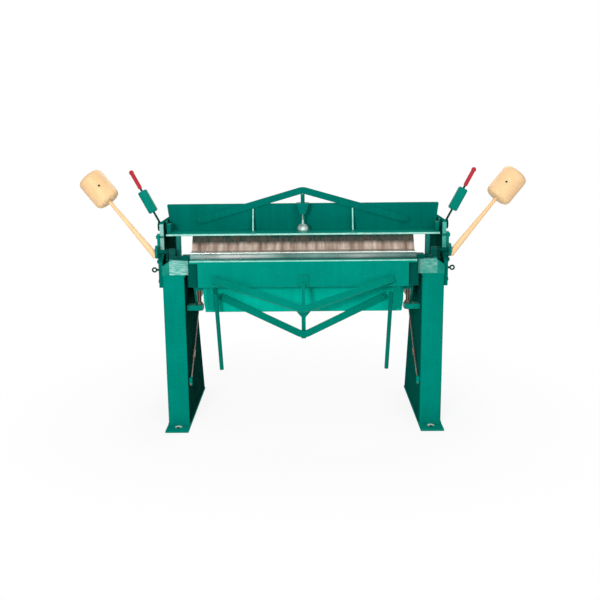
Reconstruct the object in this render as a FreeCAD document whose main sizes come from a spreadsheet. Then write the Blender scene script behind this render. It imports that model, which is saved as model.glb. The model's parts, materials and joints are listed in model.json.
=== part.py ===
import FreeCAD, Part
import math
import os
import Sketcher

# Box and pan brake: a floor-standing sheet metal folder with removable fingers.
# X runs across the machine to the right of someone who faces it, Y runs to the back and Z up.
# The origin is on the floor, in the middle of the four anchor holes. Lengths are in millimetres.

Vector = FreeCAD.Vector
doc = FreeCAD.newDocument("BoxAndPanBrake")

# Driving sizes, each written once

SIZES = [
    ("narrow_finger", 76.2, "width of a narrow finger"),
    ("middle_finger", 101.6, "width of a middle finger"),
    ("wide_finger", 127.0, "width of a wide finger"),
    ("finger_gap", 0.4, "gap between two fingers"),
    ("finger_rest_gap", 0.4, "gap under a clamped finger"),
    ("finger_setback", 15.5, "nose tip behind the bend line"),
    ("finger_nose_height", 1.5, "blunt height of the nose"),
    ("finger_knee_run", 21.0, "depth of the lower sloped face"),
    ("finger_knee_rise", 28.6, "height of the lower sloped face"),
    ("finger_height", 76.0, "bed face to underside of the leaf plate"),
    ("finger_inset", 2.0, "finger top behind the plate edge"),
    ("finger_shank_depth", 48.0, "depth of the finger's top"),
    ("finger_heel_height", 40.0, "height of the finger's heel"),
    ("finger_sole_depth", 44.5, "depth of the sole on the bed"),
    ("bed_rise", 121.0, "bend line above the leg cap"),
    ("cut_overrun", 2.0, "how far a cutting shape runs past a face"),
    ("foot_length", 790.0, "foot plate, front to back"),
    ("foot_width", 128.0, "foot plate, side to side"),
    ("foot_thickness", 10.0, "foot plate thickness"),
    ("anchor_edge", 55.0, "anchor hole from the foot plate's end"),
    ("anchor_hole_radius", 7.0, "anchor hole"),
    ("toe_length", 108.0, "foot plate in front of the leg"),
    ("leg_width", 124.0, "leg face, side to side"),
    ("leg_setout", 21.0, "leg outside the hinge block's inner face"),
    ("leg_height", 865.0, "top of the leg cap above the floor"),
    ("leg_wall", 8.0, "leg plate thickness"),
    ("leg_bend_radius", 12.0, "outer radius of the leg's bends"),
    ("leg_flange_depth", 170.0, "inner flange of the leg"),
    ("leg_foot_depth", 674.0, "side plates of the leg at the floor"),
    ("leg_top_depth", 371.0, "side plates of the leg at the top"),
    ("leg_cap_thickness", 10.0, "cap plate on the leg"),
    ("tie_lug_height", 40.0, "tie rod lug on the leg's inner side"),
    ("tie_lug_width", 17.0, "tie rod lug, side to side"),
    ("tie_lug_depth", 28.0, "tie rod lug, front to back"),
    ("tie_lug_start", 12.0, "tie rod lug behind the leg's face"),
    ("tie_low_height", 236.0, "underside of the tie rod lug"),
    ("tie_high_rise", 20.0, "tie rod's upper end above the bed end's lower edge"),
    ("tie_back", 168.0, "upper end of the tie rod behind the origin"),
    ("tie_rod_radius", 4.0, "tie rod"),
    ("tie_tail", 28.0, "tie rod below the middle of its lug"),
    ("tie_eye_radius", 12.0, "eye at the top of the tie rod"),
    ("tie_eye_width", 20.0, "eye, side to side"),
    ("turnbuckle_radius", 8.5, "turnbuckle"),
    ("turnbuckle_length", 46.0, "turnbuckle"),
    ("turnbuckle_start", 181.0, "turnbuckle above the tie rod's lower end"),
    ("nose_bar_overhang", 1.0, "nose bar past the last finger"),
    ("nose_bar_depth", 56.0, "nose bar, front to back"),
    ("nose_bar_gap", 1.0, "nose bar in front of the bend line"),
    ("nose_bar_drop", 0.5, "nose bar below the bend line"),
    ("nose_bar_height", 36.5, "nose bar"),
    ("nose_bar_chamfer", 1.5, "nose bar edges"),
    ("leaf_end_thickness", 9.5, "leaf end plate"),
    ("leaf_end_gap", 2.0, "leaf end to hinge block"),
    ("leaf_end_bottom", 2.0, "leaf end above the apron's lower edge"),
    ("arm_lift", 1.5, "leaf end arm above the hinge block"),
    ("arm_thickness", 25.5, "leaf end arm"),
    ("tongue_thickness", 12.0, "thin outer part of the leaf end arm"),
    ("knuckle_thickness", 12.0, "knuckle cheek"),
    ("knuckle_radius", 19.0, "knuckle round the hinge pin"),
    ("knuckle_gap", 1.0, "knuckle beside the bearing"),
    ("arm_length", 35.0, "leaf end arm, side to side"),
    ("arm_tail", 6.0, "arm behind the bend line"),
    ("leaf_end_recess", 19.0, "leaf end behind the apron face"),
    ("leaf_end_back_gap", 10.0, "leaf end's rear edge in front of the bend line"),
    ("apron_overhang", 40.0, "apron face in front of the nose bar"),
    ("apron_height", 145.0, "apron, top of ledge to lower edge"),
    ("apron_thickness", 16.0, "apron plate and ledge"),
    ("apron_inset", 43.5, "apron face short of the ledge's end"),
    ("ledge_radius", 6.0, "rounded front edge of the ledge"),
    ("ledge_back_gap", 6.0, "ledge short of the bend line"),
    ("hinge_setback", 47.0, "bend line behind the leg face"),
    ("hinge_pin_radius", 11.0, "hinge pin"),
    ("running_clearance", 0.05, "radial clearance of a running fit"),
    ("block_height", 79.0, "hinge block"),
    ("block_front_width", 97.0, "level top of the hinge block"),
    ("block_depth", 169.0, "hinge block, front to back"),
    ("block_shoulder_drop", 33.0, "fall of the block's sloped shoulder"),
    ("bearing_offset", 8.0, "bearing inside the level top's outer end"),
    ("bearing_width", 19.0, "bearing, side to side"),
    ("bearing_wall", 8.0, "metal round the hinge pin"),
    ("bearing_root", 20.0, "bearing sunk in the block"),
    ("lock_screw_radius", 4.0, "lock screw beside the bearing"),
    ("lock_screw_length", 96.0, "lock screw"),
    ("lock_screw_rise", 22.0, "top of the lock screw above the bend line"),
    ("lock_screw_inset", 30.0, "lock screw from the block's outer end"),
    ("lock_screw_forward", 30.0, "lock screw in front of the bend line"),
    ("post_radius", 15.0, "guide post"),
    ("post_setback", 90.0, "guide post behind the bend line"),
    ("post_inset", 28.0, "guide post from the level top's outer end"),
    ("post_seat", 15.0, "guide post above the leg cap"),
    ("post_room", 10.0, "free depth under the guide post"),
    ("head_thickness", 22.0, "head plate"),
    ("head_drop", 195.0, "head plate's lower edge below the bend line"),
    ("head_rise", 152.0, "head plate's upper edge above the bend line"),
    ("head_toe", 25.0, "lower front edge behind the leg face"),
    ("head_step_drop", 56.0, "start of the step below the bend line"),
    ("head_step_rise", 4.0, "end of the step above the bend line"),
    ("head_slope_rise", 30.0, "height of the step's last slope"),
    ("head_corner_radius", 14.0, "upper corners of the head plate"),
    ("head_front_setback", 60.0, "upper front edge behind the bend line"),
    ("head_rear", 290.0, "rear edge behind the origin"),
    ("head_rear_low", 60.0, "lower rear edge behind the origin"),
    ("head_rear_rise", 880.0, "where the rear edge starts to slope in"),
    ("head_edge_radius", 4.0, "rounded edges of the head plate"),
    ("strap_thickness", 13.0, "strap outside the head plate"),
    ("strap_width", 36.0, "strap, front to back"),
    ("strap_drop", 81.0, "strap's lower end below the bend line"),
    ("strap_rise", 92.0, "strap's upper end above the bend line"),
    ("strap_forward", 16.0, "strap in front of the head plate edge"),
    ("strap_bolt_edge", 18.0, "strap bolt from the strap's end"),
    ("strap_round", 10.0, "rounded corners of the strap"),
    ("eye_forward", 30.0, "lifting eye behind the head plate's toe"),
    ("eye_drop", 100.0, "lifting eye below the bend line"),
    ("eye_ring_radius", 11.0, "lifting eye, middle of the ring"),
    ("eye_wire_radius", 4.5, "lifting eye, thickness of the ring"),
    ("eye_shank_radius", 6.0, "shank of the lifting eye"),
    ("eye_shank_length", 12.0, "shank of the lifting eye"),
    ("bolt_radius", 6.0, "hexagon bolt"),
    ("bolt_length", 45.0, "hexagon bolt under its head"),
    ("truss_bolt_length", 28.0, "truss bolt under its head"),
    ("bolt_head_radius", 10.5, "hexagon head across corners, halved"),
    ("bolt_head_height", 7.5, "hexagon head"),
    ("bolt_clearance", 0.1, "radial clearance of a bolt"),
    ("short_bolt_length", 30.0, "strap bolt under its head"),
    ("head_bolt_drop", 164.0, "head plate bolts below the bend line"),
    ("head_bolt_first", 32.0, "first bolt behind the head plate's toe"),
    ("head_bolt_pitch", 105.0, "head plate bolts, front to back"),
    ("bed_bar_depth", 100.0, "bed top bar, front to back"),
    ("bed_bar_thickness", 25.0, "bed top bar"),
    ("bed_bar_gap", 1.0, "bed top bar behind the bend line"),
    ("bed_plate_setback", 5.0, "bed front plate behind the bend line"),
    ("bed_plate_thickness", 16.0, "bed front plate"),
    ("bed_plate_height", 315.0, "bed front plate"),
    ("bed_plate_inset", 57.5, "bed front plate short of the bed bar's end"),
    ("bed_bevel_run", 9.0, "bevel of the bed plate's lower corners"),
    ("bed_bevel_rise", 66.0, "bevel of the bed plate's lower corners"),
    ("bed_end_thickness", 12.0, "bed end plate"),
    ("bed_end_inset", 1.5, "bed end plate short of the bed bar's end"),
    ("bed_end_tail", 190.0, "bed end plate's rear edge behind the origin"),
    ("bed_end_drop", 306.0, "bed end plate's lower edge below the bend line"),
    ("bed_end_tail_height", 60.0, "height of the bed end plate's tail"),
    ("bed_end_cut_rise", 100.0, "cut-off lower front corner of the bed end"),
    ("bed_end_cut_run", 69.0, "cut-off lower front corner of the bed end"),
    ("bed_pad_setback", 40.0, "pad behind the bend line"),
    ("bed_pad_height", 70.0, "pad between bed end and leg"),
    ("bed_pad_drop", 15.0, "pad below the leg cap"),
    ("bed_pad_depth", 70.0, "pad, front to back"),
    ("shelf_thickness", 20.0, "shelf over the levelling screw"),
    ("shelf_depth", 49.0, "shelf, front to back"),
    ("shelf_drop", 221.0, "underside of the shelf below the bend line"),
    ("lug_thickness", 28.0, "support lug on the leg"),
    ("lug_drop", 327.0, "underside of the lug below the bend line"),
    ("lug_depth", 60.0, "support lug, front to back"),
    ("lug_gap", 4.0, "support lug outside the bed plate"),
    ("leveling_radius", 10.0, "levelling screw"),
    ("leveling_setback", 14.0, "levelling screw behind the bed plate"),
    ("leveling_edge", 15.0, "levelling screw to the lug's rear face"),
    ("leveling_tail", 10.0, "levelling screw below its lug"),
    ("leveling_inset", 22.0, "levelling screw from the lug's end"),
    ("leveling_nut_radius", 17.0, "levelling screw's nut"),
    ("leveling_nut_height", 12.0, "levelling screw's nut"),
    ("truss_bar_width", 38.0, "width of every truss bar"),
    ("truss_bar_thickness", 12.0, "thickness of every truss bar"),
    ("truss_bend_radius", 60.0, "bend at the middle of a truss bar"),
    ("truss_seat_gap", 4.0, "post below the bar's lower edge"),
    ("bed_truss_half", 458.0, "half length of the bed truss"),
    ("bed_truss_end_drop", 250.0, "ends of the bed truss below the bend line"),
    ("bed_truss_drop", 224.0, "fall of the bed truss to its middle"),
    ("truss_bolt_inset", 20.0, "truss bolt from the bar's end"),
    ("strut_width", 23.0, "width of a truss strut"),
    ("strut_flare_half", 40.0, "half width of a strut's flared end"),
    ("strut_thickness", 10.0, "thickness of a flat strut"),
    ("strut_flare_height", 34.0, "height of the flare"),
    ("leaf_plate_setback", 70.0, "top leaf plate behind the bend line"),
    ("leaf_plate_depth", 200.0, "top leaf plate, front to back"),
    ("leaf_plate_thickness", 12.0, "top leaf plate"),
    ("leaf_plate_round", 4.0, "rounded front edge of the plate"),
    ("leaf_plate_gap", 10.0, "plate end to head plate"),
    ("web_setback", 255.0, "top leaf web behind the bend line"),
    ("web_thickness", 12.0, "top leaf web"),
    ("web_height", 148.0, "top leaf web"),
    ("web_flare", 18.0, "web's upper corner past its lower corner"),
    ("web_corner_radius", 8.0, "web's upper corners"),
    ("rib_spread", 283.0, "rib from the middle"),
    ("rib_thickness", 8.0, "rib"),
    ("rib_height", 120.0, "rib"),
    ("rib_foot_depth", 60.0, "rib at the plate"),
    ("rib_top_depth", 12.0, "rib at its top"),
    ("top_truss_half", 604.0, "half length of the top truss"),
    ("top_truss_end_rise", 50.0, "ends of the top truss above the plate"),
    ("top_truss_rise", 173.0, "rise of the top truss to its middle"),
    ("bracket_width", 72.0, "strut bracket at its top"),
    ("bracket_foot_width", 30.0, "strut bracket at its foot"),
    ("bracket_height", 62.0, "strut bracket"),
    ("bracket_depth", 76.0, "strut bracket, front to back"),
    ("bracket_top_drop", 6.0, "strut bracket's top above the web"),
    ("jack_radius", 6.0, "adjusting screw of the top truss"),
    ("jack_grip", 30.0, "adjusting screw inside the bracket"),
    ("jack_setback", 190.0, "adjusting screw behind the bend line"),
    ("dome_radius", 35.0, "domed nut"),
    ("washer_thickness", 5.0, "washer under the domed nut"),
    ("washer_radius", 34.0, "washer under the domed nut"),
    ("clamp_bar_thickness", 20.0, "finger clamp bar"),
    ("clamp_bar_height", 44.0, "finger clamp bar"),
    ("lift_casting_thickness", 20.0, "lift casting"),
    ("lift_casting_height", 51.0, "lift casting"),
    ("lift_casting_depth", 70.0, "lift casting, front to back"),
    ("lift_casting_setback", 40.0, "lift casting behind the plate's edge"),
    ("lift_casting_round", 10.0, "upper corners of the lift casting"),
    ("top_leaf_lift", 25.0, "lift of the top leaf"),
    ("crank_angle", 35.0, "half of the lever's swing, degrees"),
    ("crank_setback", 160.0, "crank centre behind the bend line"),
    ("crank_rise", 122.0, "crank centre above the bend line"),
    ("crank_disc_radius", 32.0, "crank disc"),
    ("crank_disc_gap", 0.7, "crank disc's side clearance"),
    ("crank_disc_thickness", 8.0, "crank disc"),
    ("crank_pin_radius", 8.0, "crank pin"),
    ("crank_slot_gap", 0.4, "crank pin's clearance in its slot"),
    ("crank_slot_room", 4.0, "spare length at the slot's ends"),
    ("crank_shaft_radius", 12.0, "crank shaft"),
    ("lever_hub_radius", 26.0, "lever hub"),
    ("lever_hub_width", 20.0, "lever hub"),
    ("lever_hub_gap", 3.0, "lever hub to head plate"),
    ("lever_root_rise", 10.0, "lever rod's start above the crank centre"),
    ("lever_root_in", 15.0, "lever rod's start from the hub's outer face"),
    ("lever_rod_radius", 6.0, "lever rod"),
    ("lever_rod_length", 317.0, "lever rod"),
    ("lever_out_angle", 27.2, "lever's lean to the side, degrees"),
    ("lever_front_angle", 1.7, "lever's lean to the front, degrees"),
    ("lever_block_start", 80.0, "lever block along the rod"),
    ("lever_block_length", 132.0, "lever block"),
    ("lever_block_width", 50.0, "lever block across"),
    ("lever_block_depth", 40.0, "lever block, front to back"),
    ("lever_block_chamfer", 6.0, "lever block edges"),
    ("grip_start", 228.0, "grip along the rod"),
    ("grip_length", 98.0, "grip"),
    ("grip_radius", 11.0, "grip"),
    ("grip_end_radius", 13.5, "ball end of the grip"),
    ("hub_radius", 36.0, "counterweight arm hub"),
    ("hub_width", 13.0, "counterweight arm hub"),
    ("hub_gap", 2.0, "arm hub to head plate"),
    ("weight_arm_radius", 18.0, "counterweight arm at its hub"),
    ("weight_spigot_radius", 10.0, "counterweight arm under the weight"),
    ("weight_arm_taper", 355.0, "tapered length of the arm"),
    ("weight_spigot_length", 190.0, "length of the arm under the weight"),
    ("weight_arm_sink", 2.0, "arm's axis starts inside the hub's outer face"),
    ("weight_arm_drop", 24.0, "arm's root below the bend line"),
    ("weight_arm_forward", 7.0, "arm's root in front of the bend line"),
    ("weight_out_angle", 39.5, "arm's lean to the side, degrees"),
    ("weight_back_angle", 7.0, "arm's lean to the back, degrees"),
    ("weight_radius", 72.0, "counterweight"),
    ("weight_length", 180.0, "counterweight"),
    ("weight_round", 28.0, "rounded edges of the counterweight"),
    ("weight_start", 388.0, "counterweight along its arm"),
    ("weight_screw_radius", 6.0, "counterweight's set screw"),
    ("weight_screw_sink", 3.0, "set screw below the weight's face"),
    ("weight_screw_gap", 0.25, "set screw's tip to the bore"),
    ("weight_screw_angle", 21.0, "set screw turned up from the front, degrees"),
    ("leaf_truss_half", 484.0, "half length of the leaf truss"),
    ("leaf_truss_end_drop", 103.0, "ends of the leaf truss below the ledge"),
    ("leaf_truss_drop", 171.0, "fall of the leaf truss to its middle"),
    ("leaf_truss_tilt", 30.7, "leaf truss's lean to the front, degrees"),
    ("leaf_truss_gap", 2.0, "leaf truss in front of the apron"),
    ("leaf_lug_width", 34.0, "lug behind each end of the leaf truss"),
    ("leaf_lug_rise", 8.0, "lug above the truss bar's middle line"),
    ("leaf_strut_width", 18.0, "square bar behind the leaf truss"),
    ("leaf_strut_start", 20.0, "top of the square bar below the truss ends"),
    ("pad_width", 60.0, "pad behind the leaf strut"),
    ("pad_height", 60.0, "pad behind the leaf strut"),
    ("pad_thickness", 8.0, "pad behind the leaf strut"),
    ("pad_edge", 6.0, "pad above the apron's lower edge"),
    ("bracket_bar_width", 38.0, "handle bracket"),
    ("bracket_bar_thickness", 12.0, "handle bracket"),
    ("bracket_bar_length", 190.0, "handle bracket"),
    ("bracket_bar_lap", 66.0, "handle bracket behind the apron"),
    ("bracket_spread", 487.0, "inner edge of the handle bracket"),
    ("handle_radius", 11.0, "lifting handle"),
    ("handle_length", 428.0, "lifting handle"),
    ("handle_drop", 218.0, "top of the handle below the bend line"),
    ("handle_in_angle", 3.0, "handle's lean to the middle, degrees"),
    ("handle_back_angle", 1.0, "handle's lean to the front, degrees"),
    ("bracket_round", 8.0, "lower corners of the handle bracket"),
    ("handle_tab_height", 60.0, "tab between handle and bracket"),
    ("handle_tab_thickness", 8.0, "tab between handle and bracket"),
]

FINGER_ORDER = [
    "narrow", "middle", "narrow", "wide", "middle", "narrow", "middle",
    "narrow", "middle", "wide", "narrow", "middle", "narrow",
]

SIDES = [("left", -1), ("right", 1)]


class Size:
    """A length or a place, with its number and the sheet formula that it comes from."""

    def __init__(self, formula, number):
        self.formula = formula
        self.number = number

    def __add__(self, other):
        other = as_size(other)
        return Size("(%s + %s)" % (self.formula, other.formula), self.number + other.number)

    def __sub__(self, other):
        other = as_size(other)
        return Size("(%s - %s)" % (self.formula, other.formula), self.number - other.number)

    def __mul__(self, other):
        other = as_size(other)
        return Size("(%s * %s)" % (self.formula, other.formula), self.number * other.number)

    def __truediv__(self, other):
        other = as_size(other)
        return Size("(%s / %s)" % (self.formula, other.formula), self.number / other.number)

    def __radd__(self, other):
        return as_size(other) + self

    def __rsub__(self, other):
        return as_size(other) - self

    def __rmul__(self, other):
        return as_size(other) * self

    def __neg__(self):
        return as_size(0) - self


def as_size(value):
    if isinstance(value, Size):
        return value
    return Size("(%r)" % float(value), float(value))


def sine(angle):
    return Size("sin(%s)" % angle.formula, math.sin(math.radians(angle.number)))


def cosine(angle):
    return Size("cos(%s)" % angle.formula, math.cos(math.radians(angle.number)))


def arctangent(ratio):
    return Size("atan(%s)" % ratio.formula, math.degrees(math.atan(ratio.number)))


def fill_sheet():
    """Write the driving sizes to the sheet and give them back by name."""
    sheet = doc.addObject("Spreadsheet::Sheet", "Sizes")
    named = {}
    for row, (alias, number, note) in enumerate(SIZES, start=1):
        sheet.set("A%d" % row, note)
        sheet.set("B%d" % row, str(number))
        sheet.setAlias("B%d" % row, alias)
        named[alias] = Size("Sizes.%s" % alias, number)
    doc.recompute()
    return named


class Named:
    """The sheet's sizes as attributes."""

    def __init__(self, named):
        self.__dict__.update(named)


s = Named(fill_sheet())
parts = {}


def bind(thing, place, size):
    thing.setExpression(place, as_size(size).formula)


def put(thing, x=0, y=0, z=0):
    """Bind the place of an object's own origin."""
    bind(thing, "Placement.Base.x", x)
    bind(thing, "Placement.Base.y", y)
    bind(thing, "Placement.Base.z", z)
    return thing


def piece(label, thing):
    """Keep an object as a finished sub-part."""
    thing.Label = label
    parts[label] = thing
    return thing


def block(name, x, y, z):
    """A box between two places on each axis, given as pairs."""
    thing = doc.addObject("Part::Box", name)
    bind(thing, "Length", x[1] - x[0])
    bind(thing, "Width", y[1] - y[0])
    bind(thing, "Height", z[1] - z[0])
    return put(thing, x[0], y[0], z[0])


TURNS = {
    "x": FreeCAD.Rotation(Vector(0, 1, 0), 90),
    "y": FreeCAD.Rotation(Vector(1, 0, 0), -90),
    "z": FreeCAD.Rotation(),
}


def bar(name, axis, radius, length, x, y, z):
    """A round bar that starts at a place and runs along an axis."""
    thing = doc.addObject("Part::Cylinder", name)
    bind(thing, "Radius", radius)
    bind(thing, "Height", length)
    thing.Placement = FreeCAD.Placement(Vector(), TURNS[axis])
    return put(thing, x, y, z)


def hexagon(name, axis, radius, height, x, y, z):
    """A hexagonal head or nut that starts at a place and runs along an axis."""
    thing = doc.addObject("Part::Prism", name)
    thing.Polygon = 6
    bind(thing, "Circumradius", radius)
    bind(thing, "Height", height)
    thing.Placement = FreeCAD.Placement(Vector(), TURNS[axis])
    return put(thing, x, y, z)


def fuse(name, things):
    thing = doc.addObject("Part::MultiFuse", name)
    thing.Shapes = things
    thing.Refine = True
    return thing


def cut(name, base, tools):
    """Take tools out of a solid or a group of solids."""
    tool = tools[0]
    if len(tools) > 1:
        tool = group(name + "_tools", tools)
    thing = doc.addObject("Part::Cut", name)
    thing.Base = base
    thing.Tool = tool
    return thing


def group(name, things):
    thing = doc.addObject("Part::Compound", name)
    thing.Links = things
    return thing


def corner_edges(pad, plane, points, indices):
    """Names of the pad's straight edges that rise from the numbered outline points."""
    found = []
    for index in indices:
        a, b = points[index][0].number, points[index][1].number
        for number, edge in enumerate(pad.Shape.Edges, start=1):
            first, last = edge.Vertexes[0].Point, edge.Vertexes[-1].Point
            ends = [plane_place(plane, first), plane_place(plane, last)]
            if all(math.hypot(u - a, v - b) < 0.001 for u, v in ends):
                found.append("Edge%d" % number)
    return found


def plane_place(plane, point):
    if plane == "YZ_Plane":
        return point.y, point.z
    if plane == "XZ_Plane":
        return point.x, point.z
    return point.x, point.y


def plate(name, plane, outline, start, thickness, rounds=()):
    """A plate with a bound outline, padded along the axis square to its plane.

    The outline's points are pairs of sizes. Each entry of rounds is a radius and the
    numbers of the corners that it rounds.
    """
    points = [(as_size(a), as_size(b)) for a, b in outline]
    body = doc.addObject("PartDesign::Body", name)
    sketch = body.newObject("Sketcher::SketchObject", name + "_outline")
    origin_plane = [thing for thing in body.Origin.OriginFeatures if thing.Role == plane][0]
    sketch.AttachmentSupport = (origin_plane, [""])
    sketch.MapMode = "FlatFace"
    count = len(points)
    for index in range(count):
        a, b = points[index], points[(index + 1) % count]
        start_point = Vector(a[0].number, a[1].number, 0)
        end_point = Vector(b[0].number, b[1].number, 0)
        sketch.addGeometry(Part.LineSegment(start_point, end_point))
    for index in range(count):
        sketch.addConstraint(Sketcher.Constraint("Coincident", index, 2, (index + 1) % count, 1))
    for index, point in enumerate(points):
        for kind, size in zip(("DistanceX", "DistanceY"), point):
            made = sketch.addConstraint(Sketcher.Constraint(kind, -1, 1, index, 1, size.number))
            sketch.setExpression("Constraints[%d]" % made, size.formula)
    pad = body.newObject("PartDesign::Pad", name + "_pad")
    pad.Profile = sketch
    bind(pad, "Length", thickness)
    body.Tip = pad
    doc.recompute()
    for number, (radius, indices) in enumerate(rounds):
        base = body.Tip
        edges = corner_edges(base, plane, points, indices)
        fillet = body.newObject("PartDesign::Fillet", "%s_round%d" % (name, number))
        fillet.Base = (base, edges)
        bind(fillet, "Radius", radius)
        body.Tip = fillet
        doc.recompute()
    if plane == "YZ_Plane":
        return put(body, x=start)
    if plane == "XZ_Plane":
        return put(body, y=start + thickness)
    return put(body, z=start)


def mirrored(side, low, high):
    """A pair of places on one side of the machine, in rising order."""
    if side > 0:
        return low, high
    return -high, -low


def lean(out_angle, front_angle, side):
    """Direction of a rod that leans outwards and to the front."""
    out = math.radians(out_angle.number)
    front = math.radians(front_angle.number)
    across = math.sin(out) * side
    forward = -math.sin(front)
    up = math.sqrt(1 - across * across - forward * forward)
    return Vector(across, forward, up)


def slant(start, direction):
    """Placement that carries the upright Z axis onto a direction."""
    point = Vector(*[as_size(value).number for value in start])
    return FreeCAD.Placement(point, FreeCAD.Rotation(Vector(0, 0, 1), direction))


# Main places, worked out from the driving sizes

finger_width = {"narrow": s.narrow_finger, "middle": s.middle_finger, "wide": s.wide_finger}
bed_length = sum((finger_width[kind] for kind in FINGER_ORDER[1:]), finger_width[FINGER_ORDER[0]])
bed_half = bed_length / 2
foot_front_y = -s.foot_length / 2
leg_front_y = foot_front_y + s.toe_length
hinge_y = leg_front_y + s.hinge_setback
hinge_z = s.leg_height + s.bed_rise
head_low_z = hinge_z - s.head_drop
head_high_z = hinge_z + s.head_rise
step_low_z = hinge_z - s.head_step_drop
step_high_z = hinge_z + s.head_step_rise
strap_low_z = hinge_z - s.strap_drop
strap_high_z = hinge_z + s.strap_rise
head_bolt_z = hinge_z - s.head_bolt_drop
eye_z = hinge_z - s.eye_drop
bed_end_low_z = hinge_z - s.bed_end_drop
shelf_low_z = hinge_z - s.shelf_drop
lug_low_z = hinge_z - s.lug_drop
bed_truss_end_z = hinge_z - s.bed_truss_end_drop
crank_z = hinge_z + s.crank_rise
handle_top_z = hinge_z - s.handle_drop
tie_high_z = bed_end_low_z + s.tie_high_rise

nose_half = bed_half + s.nose_bar_overhang
leaf_end_x = nose_half + s.leaf_end_thickness
block_inner_x = leaf_end_x + s.leaf_end_gap
block_top_z = s.leg_height + s.block_height
level_end_x = block_inner_x + s.block_front_width
knuckle_outer_x = level_end_x - s.bearing_offset - s.knuckle_gap
knuckle_inner_x = knuckle_outer_x - s.knuckle_thickness
leg_inner_x = block_inner_x + s.leg_setout
leg_outer_x = leg_inner_x + s.leg_width
head_outer_x = leg_outer_x + s.head_thickness
leg_centre_x = leg_inner_x + s.leg_width / 2

plate_front_y = hinge_y + s.leaf_plate_setback
plate_low_z = hinge_z + s.finger_height
plate_top_z = plate_low_z + s.leaf_plate_thickness
plate_half = leg_outer_x - s.leaf_plate_gap
web_front_y = hinge_y + s.web_setback
ledge_top_z = hinge_z - s.nose_bar_drop - s.nose_bar_height
apron_front_y = hinge_y - s.nose_bar_gap - s.nose_bar_depth - s.apron_overhang
apron_back_y = apron_front_y + s.apron_thickness
apron_low_z = ledge_top_z - s.apron_height
crank_y = hinge_y + s.crank_setback
crank_offset = s.top_leaf_lift / 2 / sine(s.crank_angle)
crank_pin_y = crank_y - crank_offset * cosine(s.crank_angle)
crank_pin_z = crank_z - s.top_leaf_lift / 2
slot_front_y = crank_y - crank_offset - s.crank_pin_radius - s.crank_slot_room
slot_back_y = crank_pin_y + s.crank_pin_radius + s.crank_slot_room
top_truss_end_z = plate_top_z + s.top_truss_end_rise
top_truss_middle_z = top_truss_end_z + s.top_truss_rise
top_truss_bolt_x = s.top_truss_half - s.truss_bolt_inset
top_truss_bolt_z = top_truss_end_z + s.truss_bolt_inset * s.top_truss_rise / s.top_truss_half
clamp_bar_front_y = plate_front_y + s.finger_inset + s.finger_shank_depth
clamp_screw_z = plate_low_z - s.clamp_bar_height / 2
strap_front_y = hinge_y + s.head_front_setback - s.strap_forward
strap_outer_x = head_outer_x + s.strap_thickness
eye_y = leg_front_y + s.head_toe + s.eye_forward
post_x = level_end_x - s.post_inset
post_y = hinge_y + s.post_setback
lock_x = leg_outer_x - s.lock_screw_inset
lock_y = hinge_y - s.lock_screw_forward
lock_screw_top_z = hinge_z + s.lock_screw_rise
anchor_y = foot_front_y + s.anchor_edge
bed_plate_front_y = hinge_y + s.bed_plate_setback
bed_plate_back_y = bed_plate_front_y + s.bed_plate_thickness
bed_plate_half = bed_half - s.bed_plate_inset
bed_under_z = hinge_z - s.bed_bar_thickness
bed_end_outer_x = bed_half - s.bed_end_inset
bed_truss_middle_z = bed_truss_end_z - s.bed_truss_drop
bed_truss_front_y = bed_plate_front_y - s.truss_bar_thickness
bed_truss_bolt_x = s.bed_truss_half - s.truss_bolt_inset
bed_truss_bolt_z = bed_truss_end_z - s.truss_bolt_inset * s.bed_truss_drop / s.bed_truss_half
lug_inner_x = bed_plate_half + s.lug_gap
leveling_y = bed_plate_back_y + s.leveling_setback
leveling_x = lug_inner_x + s.leveling_inset
tie_low = (
    leg_inner_x - s.tie_lug_width / 2,
    leg_front_y + s.tie_lug_start + s.tie_lug_depth / 2,
    s.tie_low_height + s.tie_lug_height / 2,
)
tie_high = (bed_end_outer_x + s.tie_eye_width / 2, s.tie_back, tie_high_z)

head_bolt_places = [
    (leg_front_y + s.head_toe + s.head_bolt_first + number * s.head_bolt_pitch, head_bolt_z)
    for number in range(3)
]
strap_bolt_places = [
    (strap_front_y + s.strap_width / 2, strap_low_z + s.strap_bolt_edge),
    (strap_front_y + s.strap_width / 2, strap_high_z - s.strap_bolt_edge),
]


def hole(name, axis, radius, length, x, y, z):
    """The shape of a round hole, which runs past both faces."""
    start = {"x": x, "y": y, "z": z}
    start[axis] = start[axis] - s.cut_overrun
    return bar(name, axis, radius, length + 2 * s.cut_overrun, **start)


def bolt(name, axis, side, length, x, y, z):
    """A hexagon bolt given by the middle of its head's underside and the way the head points."""
    shank_start = {"x": x, "y": y, "z": z}
    head_start = dict(shank_start)
    if side > 0:
        shank_start[axis] = shank_start[axis] - length
    else:
        head_start[axis] = head_start[axis] - s.bolt_head_height
    shank = bar(name + "_shank", axis, s.bolt_radius, length, **shank_start)
    head = hexagon(name + "_head", axis, s.bolt_head_radius, s.bolt_head_height, **head_start)
    return fuse(name, [shank, head])


def slanted_bar(name, radius, length, start, direction):
    """A round bar from a place along any direction."""
    thing = doc.addObject("Part::Cylinder", name)
    bind(thing, "Radius", radius)
    bind(thing, "Height", length)
    thing.Placement = slant(start, direction)
    return thing


def along(start, direction, distance):
    """The place at a distance from another along a direction."""
    return tuple(as_size(a).number + b * as_size(distance).number for a, b in zip(start, direction))


# Frame: feet, legs, hinge blocks and head plates


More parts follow.
